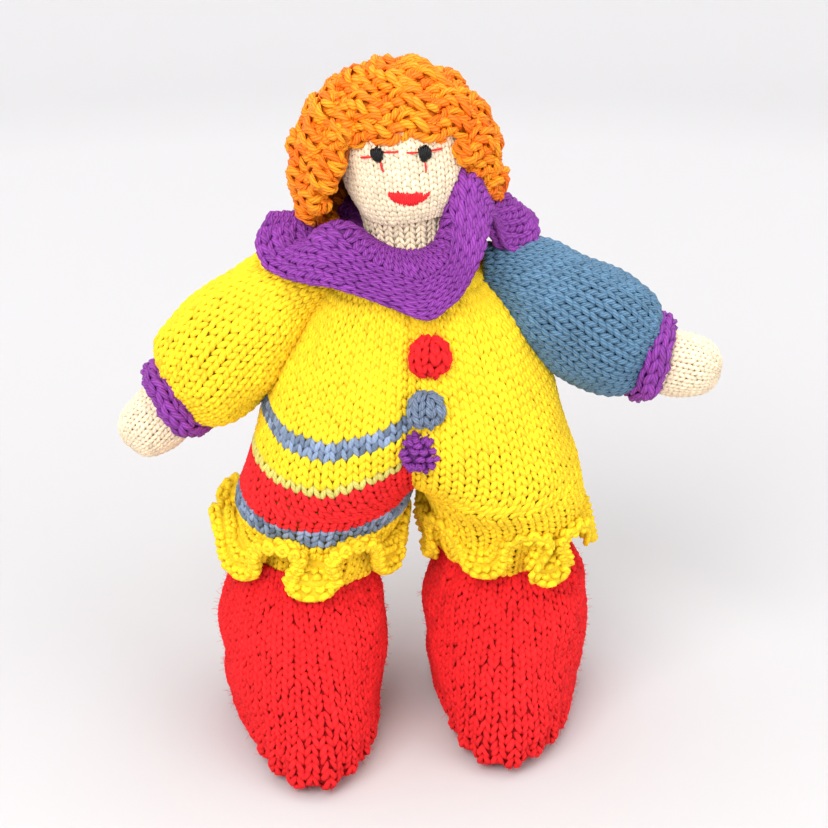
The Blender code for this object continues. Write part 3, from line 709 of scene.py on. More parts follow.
# The sleeve's middle line across and up, and its radius, from the shoulder to the cuff.
SLEEVES = {
    "right": (
        (-30, 198, 9.0),
        (-38, 196, 11.5),
        (-50, 191.5, 16.0),
        (-65.6, 178.5, 22.3),
        (-79.8, 162, 24.0),
        (-89.5, 150.5, 20.5),
        (-96.2, 144.6, 12.6),
        (-99.5, 142.3, 10.0),
    ),
    "left": (
        (28, 199, 10.0),
        (35, 198, 12.5),
        (45.4, 195, 17.0),
        (64.5, 183, 23.0),
        (80.3, 171.5, 23.8),
        (91, 165, 19.0),
        (96.6, 162.3, 12.6),
        (100, 161.2, 10.0),
    ),
}
CUFF_TILT = {"right": 37, "left": 18}
CUFF_PLACE = {"right": (-97.9, 143.6), "left": (98.0, 161.8)}
HAND_TILT = {"right": 47, "left": 13}


def line_surface(rows, steps, deep):
    """A tube along a line in the doll's upright plane, its seam underneath. rows are x, z, radius."""
    rows = np.array(rows, float)
    gap = np.concatenate([[0], np.cumsum(np.hypot(*np.diff(rows[:, :2], axis=0).T))])
    at = np.linspace(0, gap[-1], steps[1])
    x, z, radius = spline(gap, rows, at).T
    centres = np.stack([x, np.zeros_like(x), z], -1)
    along = unit(np.gradient(centres, axis=0))
    back = np.broadcast_to([0.0, 1.0, 0.0], along.shape)
    down = unit(np.cross(along, back))
    down = down * np.where(down[:, 2:] > 0, -1.0, 1.0)
    made = tube_surface(centres, down, back, radius, radius * deep, steps[0])
    return outward(even(made.points, 1, steps[1]))


def arm_direction(tilt, side):
    """The way an arm points when it hangs the given degrees below level."""
    turn = math.radians(tilt)
    return np.array([side * math.cos(turn), 0.0, -math.sin(turn)])


def make_sleeve(name):
    side = SIDES[name]
    colour = YELLOW if name == "right" else BLUE
    surface = line_surface(SLEEVES[name], (120, 120), deep=0.93)
    surface = wobble(surface, (0.7, 2, 1.3, 0.2), (0.5, 3, -2.2, 0.5), (0.4, 5, 3.1, 0.1))
    v = np.linspace(0, 1, 120)[None]
    u = np.linspace(0, 1, 121)[:, None]
    gather = 1.0 * np.sin(2 * np.pi * 12 * u) * ease((v - 0.86) / 0.12)
    gather = gather + 0.7 * np.sin(2 * np.pi * 11 * u) * ease((0.16 - v) / 0.14)
    surface = surface.pushed(gather)
    parts = Parts()
    backing(parts, surface, colour, MAIN_YARN * 0.42, (56, 40), thick=1.6)
    rows = int(round(surface.length.mean() / (MAIN_ROW * 1.02)))
    stockinette(parts, surface, 27, rows, MAIN_YARN * 1.05, colour, 21 if side > 0 else 22)
    piece = parts.build(f"sleeve_knit_{name}", SHINY if name == "left" else WOOL)
    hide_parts(f"sleeve_{name}", f"shoulder_gather_{name}")
    core = filling(f"sleeve_filling_{name}", surface)
    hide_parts(f"sleeve_stuffing_{name}")
    for each in (piece, core):
        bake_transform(each)


def make_cuff(name):
    side = SIDES[name]
    normal = arm_direction(CUFF_TILT[name], side)
    up = side * np.array([-normal[2], 0, normal[0]])
    back = np.array([0.0, 1.0, 0.0])
    x, z = CUFF_PLACE[name]
    middle = np.array([x, 0, z])
    turn = np.linspace(0, 2 * np.pi, 141)[None, :, None]
    around = np.linspace(0, 2 * np.pi, 33)[:, None, None]
    ring = 14.3 + 0.5 * np.sin(5 * turn + side) + 0.35 * np.sin(11 * turn)
    drift = 0.7 * np.sin(3 * turn + 1) + 0.5 * np.sin(8 * turn)
    radial = up * np.cos(turn) + back * np.sin(turn)
    wide, deep = 4.1, 3.1
    points = middle + radial * (ring + deep * np.cos(around)) + normal * (wide * np.sin(around) + drift)
    away = points - (middle + radial * ring)
    flip = (Surface(points, closed=True).normals * away).sum() < 0
    made = Surface(points, closed=True, flip=flip)
    parts = Parts()
    backing(parts, made, PURPLE, MAIN_YARN * 0.4, (14, 90))
    stockinette(parts, made, 5, 20, MAIN_YARN * 1.35, PURPLE, 31 if side > 0 else 32, slack=0.07)
    piece = parts.build(f"cuff_knit_{name}", SHINY)
    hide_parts(f"cuff_{name}")
    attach(piece, f"arm_{name}")


def make_hand(name):
    side = SIDES[name]
    x, z = CUFF_PLACE[name]
    direction = arm_direction(HAND_TILT[name], side)
    radii = (
        # distance past the cuff, radius
        (-5, 10.0),
        (0, 11.2),
        (6, 12.6),
        (12, 13.2),
        (18, 12.8),
        (23, 11.0),
        (26.5, 8.4),
        (28.6, 5.2),
        (29.6, 2.4),
        (29.9, 0.5),
    )
    rows = [(x + direction[0] * t, z + direction[2] * t, r) for t, r in radii]
    surface = line_surface(rows, (96, 90), deep=0.9)
    surface = wobble(surface, (0.35, 2, 1.1, 0.3), (0.3, 3, -2, 0.2))
    parts = Parts()
    backing(parts, surface, CREAM, FINE_YARN * 0.4, (40, 30), thick=1.2)
    rows = int(round(surface.length.mean() / FINE_ROW))
    stockinette(parts, surface, 21, rows, FINE_YARN * 1.12, CREAM, 41 if side > 0 else 42)
    piece = parts.build(f"hand_knit_{name}", FINE)
    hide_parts(f"hand_{name}")
    core = filling(f"hand_filling_{name}", surface, (24, 20), FINE_YARN * 0.4 + 1.4)
    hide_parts(f"hand_stuffing_{name}")
    for each in (piece, core):
        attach(each, f"hand_{name}")


# ---------------------------------------------------------------- neck, head and face

HEAD_LEAN = math.radians(6)
HEAD_MIDDLE = np.array([-2.6, -0.5, 249.0])
HEAD_DEPTH = 1.02
HEAD_PROFILE = (
    # height over the middle of the head, half width
    (-22.5, 18.6),
    (-19.5, 20.6),
    (-15.0, 22.8),
    (-9.0, 24.4),
    (0.0, 25.2),
    (8.0, 24.8),
    (14.5, 22.4),
    (19.5, 17.6),
    (22.6, 11.2),
    (24.0, 4.0),
    (24.3, 0.5),
)


def upright(rows, steps):
    """A surface of level ovals through rows of z, x, y, half width, half depth."""
    rows = np.array(rows, float)
    z = np.linspace(rows[0, 0], rows[-1, 0], steps[1])
    x, y, wide, deep = spline(rows[:, 0], rows[:, 1:], z).T
    made = level_ovals(np.stack([x, y, z], -1), deep, wide, steps[0])
    return outward(even(made.points, 1, steps[1]))


def make_neck():
    rows = (
        (206, 0.0, 0.0, 18.0, 16.5),
        (212, 0.0, 0.0, 17.6, 16.2),
        (219, -0.6, 0.0, 17.6, 16.2),
        (227, -1.2, -0.5, 19.0, 17.5),
    )
    surface = upright(rows, (200, 40))
    ribs = 26
    u = np.linspace(0, 1, 201)[:, None]
    surface = surface.pushed(0.55 * np.cos(2 * np.pi * (ribs * u - 0.5)))
    parts = Parts()
    backing(parts, surface, CREAM, FINE_YARN * 0.4, (120, 12), thick=1.2, painted_shade=0.75)
    rows = int(round(surface.length.mean() / FINE_ROW))
    stockinette(parts, surface, ribs, rows, FINE_YARN * 1.1, CREAM, 51)
    piece = parts.build("neck_knit", FINE)
    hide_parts("neck_rib")
    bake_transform(piece)
    core = filling("neck_filling", surface, (32, 8), FINE_YARN + 2)
    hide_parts("neck_stuffing")
    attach(core, "neck")


def head_surface(steps=(160, 120)):
    rows = np.array(HEAD_PROFILE)
    line = np.interp(np.linspace(0, 1, 300), np.linspace(0, 1, len(rows)), np.arange(len(rows)))
    height, wide = spline(np.arange(len(rows)), rows, line).T
    centres = np.zeros((len(height), 3))
    centres[:, 2] = height
    made = level_ovals(centres, wide * HEAD_DEPTH, wide, steps[0])
    return outward(lean(even(made.points, 1, steps[1])))


def lean(points):
    """Tips the head's own points sideways and sets them in place."""
    c, s = math.cos(HEAD_LEAN), math.sin(HEAD_LEAN)
    x = points[..., 0] * c - points[..., 2] * s
    z = points[..., 0] * s + points[..., 2] * c
    return np.stack([x, points[..., 1], z], -1) + HEAD_MIDDLE


def face_at(x, z):
    """The face's point and normal at that place across and up, in the doll's millimetres."""
    x, z = np.broadcast_arrays(np.asarray(x, float), np.asarray(z, float))
    dx = x - HEAD_MIDDLE[0]
    dz = z - HEAD_MIDDLE[2]
    c, s = math.cos(HEAD_LEAN), math.sin(HEAD_LEAN)
    a = dx * c + dz * s
    b = -dx * s + dz * c
    rows = np.array(HEAD_PROFILE)
    wide = spline(rows[:, 0], rows[:, 1], b)
    y = -HEAD_DEPTH * np.sqrt(np.clip(wide**2 - a**2, 1.0, None))
    slope = spline(rows[:, 0], rows[:, 1], b + 0.5) - spline(rows[:, 0], rows[:, 1], b - 0.5)
    normal = unit(np.stack([a / wide, y / wide, -slope], -1))
    return np.stack([x, y + HEAD_MIDDLE[1], z], -1), normal


def make_head_knit():
    surface = wobble(head_surface(), (0.3, 2, 1.1, 0.1), (0.3, 3, 2.3, 0.4))
    parts = Parts()
    backing(parts, surface, CREAM, FINE_YARN * 0.42, (70, 50), thick=1.2, painted_shade=0.75)
    rows = int(round(surface.length.mean() / FINE_ROW))
    stockinette(parts, surface, 46, rows, FINE_YARN * 1.12, CREAM, 61)
    piece = parts.build("head_knit", FINE)
    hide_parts("head_cover")
    core = filling("head_filling", surface, (40, 30), FINE_YARN * 0.42 + 1.4)
    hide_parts("head_stuffing")
    for each in (piece, core):
        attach(each, "head")


def strands(parts, starts, ends, out, radius, tint, bulge, seed):
    """Straight stitches over the face, each a thread from start to end, raised a little in the middle."""
    rng = np.random.default_rng(seed)
    t = np.linspace(0, 1, 7)[None, :, None]
    starts = np.asarray(starts, float)
    ends = np.asarray(ends, float)
    flat = starts[:, None] * (1 - t) + ends[:, None] * t
    points, normals = face_at(flat[..., 0], flat[..., 1])
    rise = out + bulge * np.sin(np.pi * t[..., 0]) - 0.5 * np.abs(2 * t[..., 0] - 1) ** 4
    points = points + normals * rise[..., None]
    size = np.full(points.shape[:2], radius) * (0.75 + 0.25 * np.sin(np.pi * t[..., 0]))
    parts.tubes(points, normals, size, size, vary(rng, len(points), tint, 0.05))


EYES = {"right": (-12.8, 255.0), "left": (4.4, 255.8)}
EYE_STITCHES = {
    # each red stitch from and to, across and up from the middle of the eye
    "right": ((2.3, 1.0, 7.6, 1.5), (-2.3, -1.2, -6.4, -2.2), (1.2, -2.7, 2.2, -6.4), (-0.6, 3.2, -1.2, 6.6)),
    "left": ((-0.2, 3.4, -0.5, 7.6), (-2.3, 0.4, -6.4, 0.4), (2.3, 0.7, 6.8, 0.9), (0.4, -3.4, 0.7, -7.6)),
}
MOUTH_MIDDLE = (-1.2, 238.4)


def make_face():
    rng = np.random.default_rng(7)
    for name, (x, z) in EYES.items():
        parts = Parts()
        across = np.linspace(-2.1, 2.1, 7)
        tall = 2.85 * np.sqrt(np.clip(1 - (across / 2.5) ** 2, 0, 1))
        jog = 0.25 * rng.standard_normal((7, 2))
        starts = np.stack([x + across * 0.8 + 0.2, z - tall + jog[:, 0]], -1)
        ends = np.stack([x + across, z + tall + jog[:, 1]], -1)
        strands(parts, starts, ends, 1.25, 0.5, BLACK, bulge=0.75, seed=8)
        piece = parts.build(f"eye_satin_{name}", SATIN)
        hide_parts(f"eye_{name}")
        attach(piece, "head")
        parts = Parts()
        lines = np.array(EYE_STITCHES[name])
        starts = lines[:, :2] + (x, z)
        ends = lines[:, 2:] + (x, z)
        strands(parts, starts, ends, 1.15, 0.42, RED, bulge=0.25, seed=9)
        piece = parts.build(f"eye_thread_{name}", SATIN)
        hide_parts(f"eye_stitches_{name}")
        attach(piece, "head")
    parts = Parts()
    x, z = MOUTH_MIDDLE
    across = np.linspace(-7.2, 7.2, 20)
    share = across / 7.5
    top = 2.8 - 0.8 * np.exp(-((share / 0.2) ** 2)) - 0.8 * np.abs(share) ** 3
    bottom = -3.5 * (1 - np.abs(share) ** 2.8) + 0.9 * np.abs(share) ** 2
    jog = 0.22 * rng.standard_normal((20, 2))
    starts = np.stack([x + across * 0.96, z + bottom + jog[:, 0]], -1)
    ends = np.stack([x + across, z + top + jog[:, 1]], -1)
    strands(parts, starts, ends, 1.2, 0.5, RED, bulge=0.7, seed=10)
    piece = parts.build("mouth_satin", SATIN)
    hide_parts("mouth")
    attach(piece, "head")


# ---------------------------------------------------------------- hair

HAIR_MIDDLE = np.array([-6.0, 3.0, 241.0])
HAIR_HALF = np.array([37.0, 31.5, 38.5])
HAIR_TIP = math.radians(-14)
HAIR_CORD = 4.1
HAIR_DOWNS = (6, 15, 25, 35, 45, 55.5, 66, 76, 86, 96, 106, 116, 125)
HAIR_GROUPS = {
    # first and last row, and the nodes that these rows stand for
    "hair_crown": (0, 5, ("hair_row_3",)),
    "hair_fringe": (5, 9, ("hair_row_1", "hair_row_2")),
    "hair_nape": (9, 13, ("hair_row_4", "hair_row_5")),
}


def hair_at(turn, down):
    """A place on the cap of hair: turn from the front towards the viewer's right, down from the crown."""
    shape = np.stack([np.sin(turn) * np.sin(down), -np.cos(turn) * np.sin(down), np.cos(down)], -1)
    y = shape[..., 1] * math.cos(HAIR_TIP) - shape[..., 2] * math.sin(HAIR_TIP)
    z = shape[..., 1] * math.sin(HAIR_TIP) + shape[..., 2] * math.cos(HAIR_TIP)
    shape = np.stack([shape[..., 0], y, z], -1)
    return HAIR_MIDDLE + shape * HAIR_HALF, unit(shape / HAIR_HALF)


def face_gap(degrees):
    """How far round from the front a row starts on the viewer's right and ends on the left, past the face."""
    right = np.interp(degrees, (67, 72, 78, 88, 98, 108, 125), (0, 26, 43, 52, 66, 78, 92))
    left = np.interp(degrees, (67, 72, 78, 88, 98, 108, 118, 125), (0, 22, 32, 33, 40, 58, 80, 95))
    return math.radians(right), math.radians(left)


def hair_cord(parts, k, degrees, rng):
    """One wavy row of braided cord round the head."""
    down = math.radians(degrees)
    right, left = face_gap(degrees)
    whole = right == 0
    sweep = 2 * math.pi - right - left
    girth = sweep * math.sin(down) * 36
    waves = max(3, round(girth / rng.uniform(14.5, 17.5)))
    steps = max(60, int(girth * 1.3))
    t = np.linspace(0, 1, steps)
    turn = right + sweep * t
    phase = rng.uniform(0, 1)
    bent = 0.35 * np.sin(2 * np.pi * (2 * t + phase))
    wave = np.sin(2 * np.pi * (waves * t + phase) + bent)
    other = np.cos(2 * np.pi * (waves * t + phase) + bent + 0.6)
    size = 2.5 * min(1.0, degrees / 22)
    if degrees > 60 and whole:
        size = 1.7
    at_down = down + (size * wave + 0.9 * np.sin(2 * np.pi * (3 * t + phase))) / 37
    points, normals = hair_at(turn, at_down)
    points = points + normals * (1.5 * other + 1.5 * (k % 2) + 0.6 * np.sin(2 * np.pi * 4 * t))[:, None]
    along = unit(np.gradient(points, axis=0))
    across = unit(np.cross(normals, along))
    up = unit(np.cross(along, across))
    roll = (0.35 * other)[:, None]
    wide_axis = unit(across * np.cos(roll) + up * np.sin(roll))
    deep_axis = unit(np.cross(along, wide_axis))
    thin = np.ones_like(t) if whole else np.clip(np.minimum(t, 1 - t) * girth / 4, 0.4, 1)
    cord = tube_surface(points, wide_axis, deep_axis, HAIR_CORD * thin, HAIR_CORD * 0.75 * thin, 24)
    flip = (Surface(cord.points, True).normals * (cord.points - points[None])).sum() < 0
    cord = Surface(cord.points, True, flip)
    backing(parts, cord, ORANGE, 0.75, (9, max(12, steps // 3)), painted_shade=0.7)
    stockinette(parts, cord, 3, max(4, int(cord.length.mean() / 4.4)), 3.0, hair_tint, 100 + k, slack=0.07)


def make_hair():
    rng = np.random.default_rng(77)
    for title, (first, last, nodes) in HAIR_GROUPS.items():
        parts = Parts()
        for k in range(first, last):
            hair_cord(parts, k, HAIR_DOWNS[k], rng)
        if title == "hair_nape":
            # The dark orange sheet under the hair is painted shade between the cords.
            backing(parts, cap_surface(), ORANGE, 0.0, (60, 36), thick=2.0, painted_shade=0.45)
        piece = parts.build(title, SHINY)
        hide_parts(*nodes)
        if title == "hair_nape":
            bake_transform(piece)
        else:
            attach(piece, "head")


def hair_tint(u, v, rng):
    pale = rng.uniform(0, 1, (u.size, 1))
    low, high = np.array([0.95, 0.17, 0.004]), np.array([1.0, 0.35, 0.010])
    return low * (1 - pale) + high * pale


def cap_surface():
    """The cap under the hair, open over the face, coloured dark as painted shade under the cords."""
    lines = []
    for degrees in np.linspace(4, 127, 60):
        right, left = face_gap(degrees)
        turn = np.linspace(right + 0.04, 2 * math.pi - left - 0.04, 120)
        points, normals = hair_at(turn, np.full(120, math.radians(degrees)))
        lines.append(points - normals * 3.2)
    return outward(np.stack(lines, 1), closed=False)


# ---------------------------------------------------------------- collar

COLLAR_FOLDS = (
    # a place half way out and one on the edge, from the back of the neck round the doll's right side
    ((-2, 25, 216), (-4, 34, 209)),
    ((-14, 23, 219), (-20, 31, 216)),
    ((-25, 17, 222), (-32, 22, 223)),
    ((-33, 11, 219), (-41, 14, 215)),
    ((-39, 7, 217), (-49, 7, 218)),
    ((-44, 3, 221), (-57, 2, 221)),
    ((-46, 0, 218), (-62, -2, 213)),
    ((-45, -8, 213), (-58, -9, 204.5)),
    ((-39, -13, 216), (-48, -18, 202.5)),
    ((-32, -19, 224), (-39, -24, 202.5)),
    ((-23, -22, 216.5), (-31, -28, 202.5)),
    ((-14.5, -24, 211.5), (-20.5, -29.5, 199.6)),
    ((-6, -26, 207.8), (-7.5, -33.2, 195.7)),
    ((2.5, -26.5, 205.8), (5.9, -34.5, 191.2)),
    ((9, -25.5, 207.5), (13.5, -33, 195.2)),
    ((13.5, -23.5, 213.5), (20, -30, 200.7)),
    ((15.5, -21, 223), (24.5, -28, 209)),
    ((17, -18, 236), (28, -23, 218)),
    ((19.5, -15, 244.5), (30, -17, 227)),
    ((23, -9, 240), (32, -11, 222)),
    ((26, -3, 234), (36, -7, 212)),
    ((31, 2, 233), (43, -3, 208.5)),
    ((36, 7, 228), (49.5, 2, 210)),
    ((35, 12, 223), (49, 9, 218)),
    ((27, 17, 221), (38, 18, 221)),
    ((18, 22, 218), (25, 27, 216)),
    ((8, 25, 215), (11, 32, 209)),
)
COLLAR_BAND = 0.47


def collar_surface():
    """The collar from the neck edge over its folds to its outer edge; u runs round the neck."""
    count = 360
    table = np.array(COLLAR_FOLDS, float)
    middle, outer = loop(table[:, 0], count), loop(table[:, 1], count)
    turn = np.linspace(0, 2 * np.pi, count + 1)
    inner = np.stack([-18.4 * np.sin(turn), 17.2 * np.cos(turn) - 0.3, 215.0 + 1.5 * np.cos(turn)], -1)
    t = np.linspace(0, 1, 60)[None, :, None]
    points = (
        inner[:, None] * (1 - t) * (1 - 2 * t)
        + middle[:, None] * 4 * t * (1 - t)
        + outer[:, None] * t * (2 * t - 1)
    )
    return Surface(even(points, 1, 60), closed=True)


def part_of(surface, low, high):
    """The surface between two shares of its v."""
    nv = surface.points.shape[1]
    v = np.linspace(low, high, nv)
    u = np.linspace(0, 1, surface.points.shape[0])
    uu, vv = np.meshgrid(np.minimum(u, 0.999999) if surface.closed else u, v, indexing="ij")
    return Surface(surface.at(uu, vv), surface.closed, surface.flip)


def both_faces(surface, out):
    """The two faces of a thick sheet about this surface."""
    over = surface.pushed(out)
    under = Surface(surface.pushed(-out).points, surface.closed, not surface.flip)
    return over, under


def make_collar():
    surface = collar_surface()
    if surface.normals[..., 2].mean() < 0:
        surface = Surface(surface.points, True, True)
    cloth = Parts()
    half = 0.9
    over, under = both_faces(surface, half)
    backing(cloth, part_of(over, 0.0, 0.97), PURPLE, 0, (200, 24), thick=2 * half, painted_shade=0.6)
    base = cloth.build("collar_cloth", SHINY)
    stitches = Parts()
    for face, seed in ((over, 71), (under, 72)):
        inner = part_of(face, 0.0, COLLAR_BAND)
        rows = int(round(inner.length.mean() / MAIN_ROW))
        stockinette(stitches, inner, 56, rows, MAIN_YARN, PURPLE, seed)
        band = part_of(face, COLLAR_BAND, 1.0)
        band = Surface(np.swapaxes(band.points, 0, 1), flip=not band.flip)
        rows = int(round(band.length.mean() / 4.3))
        stockinette(stitches, band, 5, rows, MAIN_YARN * 1.25, PURPLE, seed + 10, slack=0.07)
    knit = stitches.build("collar_stitches", SHINY)
    for each in (base, knit):
        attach(each, "torso")
    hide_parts("collar")


# ---------------------------------------------------------------- ankle frills

FRILL_MIDDLE = {"right": (-43.5, -3.0), "left": (41.5, 4.0)}
FRILL_REACH = {"right": 43.0, "left": 38.5}
FRILL_PHASE = {"right": 0.42, "left": 0.10}
FRILL_WAVES = 6
FRILL_SWING = 1.6
FRILL_HEIGHT = 81.5


def meander(waves, swing, count, rng):
    """A line that winds up and down like a river, its advance from 0 to 1 and its height about zero."""
    p = np.linspace(0, 2 * np.pi * waves, count * 8 + 1)
    share = p / p[-1]
    uneven = sum(
        size * np.sin(2 * np.pi * (k * share + rng.uniform()))
        for k, size in ((1, 0.14), (2, 0.16), (3, 0.16))
    )
    slant = swing * (1 + uneven) * np.cos(p)
    pace = 1 + 0.5 * uneven
    x = np.concatenate([[0], np.cumsum(np.cos(slant[:-1]) * pace[:-1])])
    z = np.concatenate([[0], np.cumsum(np.sin(slant[:-1]) * pace[:-1])])
    z = z - np.linspace(z[0], z[-1], len(z))
    return (x / x[-1])[::8], ((z - z.mean()) / x[-1])[::8]


def frill_surface(name):
    count = 480
    rng = np.random.default_rng(5 if name == "right" else 6)
    advance, rise = meander(FRILL_WAVES, FRILL_SWING, count, rng)
    turn = 2 * np.pi * (advance + FRILL_PHASE[name])
    plain = 2 * np.pi * (np.linspace(0, 1, count + 1) + FRILL_PHASE[name])
    cx, cy = FRILL_MIDDLE[name]
    reach = FRILL_REACH[name] + 1.5 * np.sin(2 * plain + 1) + 25 * rise
    height = FRILL_HEIGHT + 150 * rise
    outer = np.stack([cx + reach * np.sin(turn), cy - reach * 0.93 * np.cos(turn), height], -1)
    level = np.full(count + 1, 88.0)
    inner = np.stack([cx + 28.0 * np.sin(plain), cy - 27.5 * np.cos(plain), level], -1)
    t = np.linspace(0, 1, 40)[None, :, None]
    middle = np.stack(
        [
            cx + (FRILL_REACH[name] - 6) * np.sin(0.6 * turn + 0.4 * plain),
            cy - (FRILL_REACH[name] - 7) * np.cos(0.6 * turn + 0.4 * plain),
            90.0 + 0.45 * (height - FRILL_HEIGHT),
        ],
        -1,
    )
    points = inner[:, None] * (1 - t) ** 2 + middle[:, None] * 2 * t * (1 - t) + outer[:, None] * t**2
    surface = Surface(even(points, 1, 40), closed=True)
    return Surface(surface.points, True, surface.normals[..., 2].mean() < 0)


def make_frill(name):
    side = SIDES[name]
    surface = frill_surface(name)
    cloth = Parts()
    half = 1.1
    over, under = both_faces(surface, half)
    backing(cloth, part_of(over, 0.0, 0.97), YELLOW, 0, (320, 16), thick=2 * half, painted_shade=0.8)
    base = cloth.build(f"frill_cloth_{name}", WOOL)
    stitches = Parts()
    wales = int(round(surface.girth[-1] / 4.3))
    for face, seed in ((over, 81), (under, 82)):
        rows = max(4, int(round(face.length.mean() / 3.3)))
        garter(stitches, face, wales, rows, MAIN_YARN * 1.2, YELLOW, seed + side, slack=0.07)
    knit = stitches.build(f"frill_stitches_{name}", WOOL)
    for each in (base, knit):
        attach(each, f"leg_{name}")
    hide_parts(f"ankle_frill_{name}")


# ---------------------------------------------------------------- boots

BOOT_TURN = {"right": math.radians(8), "left": math.radians(-2)}
BOOT_SHIFT = {"right": -3.0, "left": 0.5}
BOOT_ROWS = (
    # height, half width, reach of the toe, reach of the heel
    (79, 23, 24, 22),
    (72, 26.5, 26.5, 25),
    (64, 30.0, 30.5, 28.5),
    (57, 32.4, 36.0, 30.5),
    (49, 33.8, 45.0, 32.5),
    (40, 34.4, 56.0, 33.5),
    (31, 34.4, 65.0, 34.0),
    (22, 34.0, 71.0, 34.0),
    (14, 33.0, 74.0, 33.3),
    (8, 31.0, 73.0, 31.6),
    (4, 28.3, 69.0, 29.0),
    (1.6, 25.0, 64.0, 26.5),
)


def boot_surface(name):
    ankle = joint_place(f"ankle_flex_{name}")
    rows = np.array(BOOT_ROWS, float)
    step = np.hypot(np.diff(rows[:, 0]), np.diff(rows[:, 2])) * 0.5 + 3
    gap = np.concatenate([[0], np.cumsum(step)])
    at = np.linspace(0, gap[-1], 120)
    z, wide, toe, heel = spline(gap, rows, at).T
    turn = np.linspace(0, 2 * np.pi, 161)[:, None]
    c, s = np.cos(turn), np.sin(turn)
    reach = np.where(c > 0, heel, toe)
    low = ease((at - 0.3 * gap[-1]) / (0.4 * gap[-1]))
    narrow = 1 - 0.24 * low * np.clip(-c, 0, 1) ** 1.2
    x = np.sign(s) * np.abs(s) ** 0.92 * wide * narrow
    y = np.sign(c) * np.abs(c) ** 0.94 * reach
    t = BOOT_TURN[name]
    turned_x = x * math.cos(t) - y * math.sin(t)
    turned_y = x * math.sin(t) + y * math.cos(t)
    points = np.stack([turned_x, turned_y, np.broadcast_to(z, x.shape)], -1)
    points = points + np.array([ankle[0] + BOOT_SHIFT[name], ankle[1], 0])
    points = even(even(points, 0, 161), 1, 120)
    return outward(points)


def fuzz(parts, surface, count, reach, tint, seed, thick=0.09):
    """Loose fibres that stand off the yarn."""
    rng = np.random.default_rng(seed)
    u, v = rng.uniform(0, 1, count), rng.uniform(0.01, 0.97, count)
    start = surface.at(u, v)
    normal = surface.normal(u, v)
    side = unit(rng.standard_normal((count, 3)))
    length = reach * rng.uniform(0.5, 1.2, (count, 1))
    t = np.linspace(0, 1, 4)[None, :, None]
    curl = unit(rng.standard_normal((count, 3)))
    lines = (
        start[:, None]
        + normal[:, None] * (0.4 + 0.55 * length[:, None] * np.sin(1.7 * t))
        + side[:, None] * length[:, None] * t
        + curl[:, None] * length[:, None] * 0.45 * t**2
    )
    size = np.full((count, 4), thick) * np.array([1, 1, 0.8, 0.5])
    parts.tubes(lines, np.repeat(side[:, None], 4, 1), size, size, vary(rng, count, tint, 0.1), sides=3)


def make_boot(name):
    side = SIDES[name]
    surface = wobble(boot_surface(name), (0.8, 2, 1.3, 0.2), (0.5, 5, 2.1, 0.6), (0.5, 3, -3.2, 0.3))
    nv = surface.points.shape[1]
    u = np.linspace(0, 1, 161)[:, None]
    v = np.linspace(0, 1, nv)[None]
    gather = 0.9 * np.sin(2 * np.pi * 17 * u) * ease((0.34 - v) / 0.2)
    toe = ease((v - 0.72) / 0.15) * ease((0.2 - np.abs(u - 0.5)) / 0.1)
    pucker = 1.3 * np.sin(2 * np.pi * 21 * u) * toe
    ridge = 1.6 * np.exp(-(((v - 0.90) / 0.025) ** 2))
    surface = surface.pushed(gather + pucker + ridge)
    parts = Parts()
    backing(parts, surface, RED, MAIN_YARN * 0.42, (70, 44), thick=1.8, painted_shade=0.6)
    rows = int(round(surface.length.mean() / 3.0))
    stockinette(parts, surface, 46, rows, MAIN_YARN * 0.95, RED, 91 + side, slack=0.1)
    fuzz(parts, surface, 3200, 2.2, RED, 95 + side)
    piece = parts.build(f"boot_knit_{name}", FLUFFY)
    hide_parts(f"boot_upper_{name}")
    core = filling(f"boot_filling_{name}", surface, (40, 30))
    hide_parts(f"boot_stuffing_{name}")
    for each in (piece, core):
        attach(each, f"boot_{name}")
    make_sole(name, surface)


def make_sole(name, surface):
    """The underside of the boot, knitted flat."""
    rim = surface.points[:, -1]
    middle = rim[:-1].mean(0)
    t = np.linspace(0.04, 1.0, 24)[None, :, None]
    points = middle * (1 - t) + rim[:, None] * t
    points[..., 2] = 1.5
    upwards = Surface(points, closed=True).normals[..., 2].mean() > 0
    flat = Surface(points, closed=True, flip=upwards)
    parts = Parts()
    backing(parts, flat, RED, 0.2, (48, 10), thick=1.6, painted_shade=0.6)
    garter(parts, flat, 46, 9, 2.0, RED, 99, lift=-0.1)
    piece = parts.build(f"sole_knit_{name}", FLUFFY)
    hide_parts(f"boot_sole_{name}")
    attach(piece, f"boot_{name}")


# ---------------------------------------------------------------- bobbles

BOBBLES = {
    # across, back, up, radius, squash towards the doll, colour
    "red": (6.7, -35.0, 176.2, 7.2, 0.62, RED),
    "blue": (5.2, -40.0, 155.6, 6.4, 0.66, MARL),
    "purple": (2.8, -40.2, 137.0, 6.6, 0.66, PURPLE),
}


def make_bobble(name):
    x, y, z, radius, squash, tint = BOBBLES[name]
    t = np.linspace(-1.45, 1.45, 40)
    centres = np.zeros((40, 3))
    centres[:, 2] = np.sin(t) * radius
    wide = np.cos(t) ** 0.8 * radius
    surface = level_ovals(centres + np.array([x, y, z]), wide * squash, wide, 48)
    surface = wobble(surface, (0.5, 3, 0.4, 0.2), (0.4, 5, 1.2, 0.4))
    parts = Parts()
    backing(parts, surface, tint, 0.9, (28, 16), painted_shade=0.6)
    if name == "purple":
        garter(parts, surface, 9, 6, 2.5, tint, 111, slack=0.16)
    else:
        stockinette(parts, surface, 8, 5, 2.3, tint, 112, slack=0.12)
    if name == "red":
        fuzz(parts, surface, 260, 2.4, RED, 113)
    piece = parts.build(f"bobble_knit_{name}", FLUFFY if name == "red" else SHINY)
    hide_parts(f"bobble_{name}")
    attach(piece, "torso")


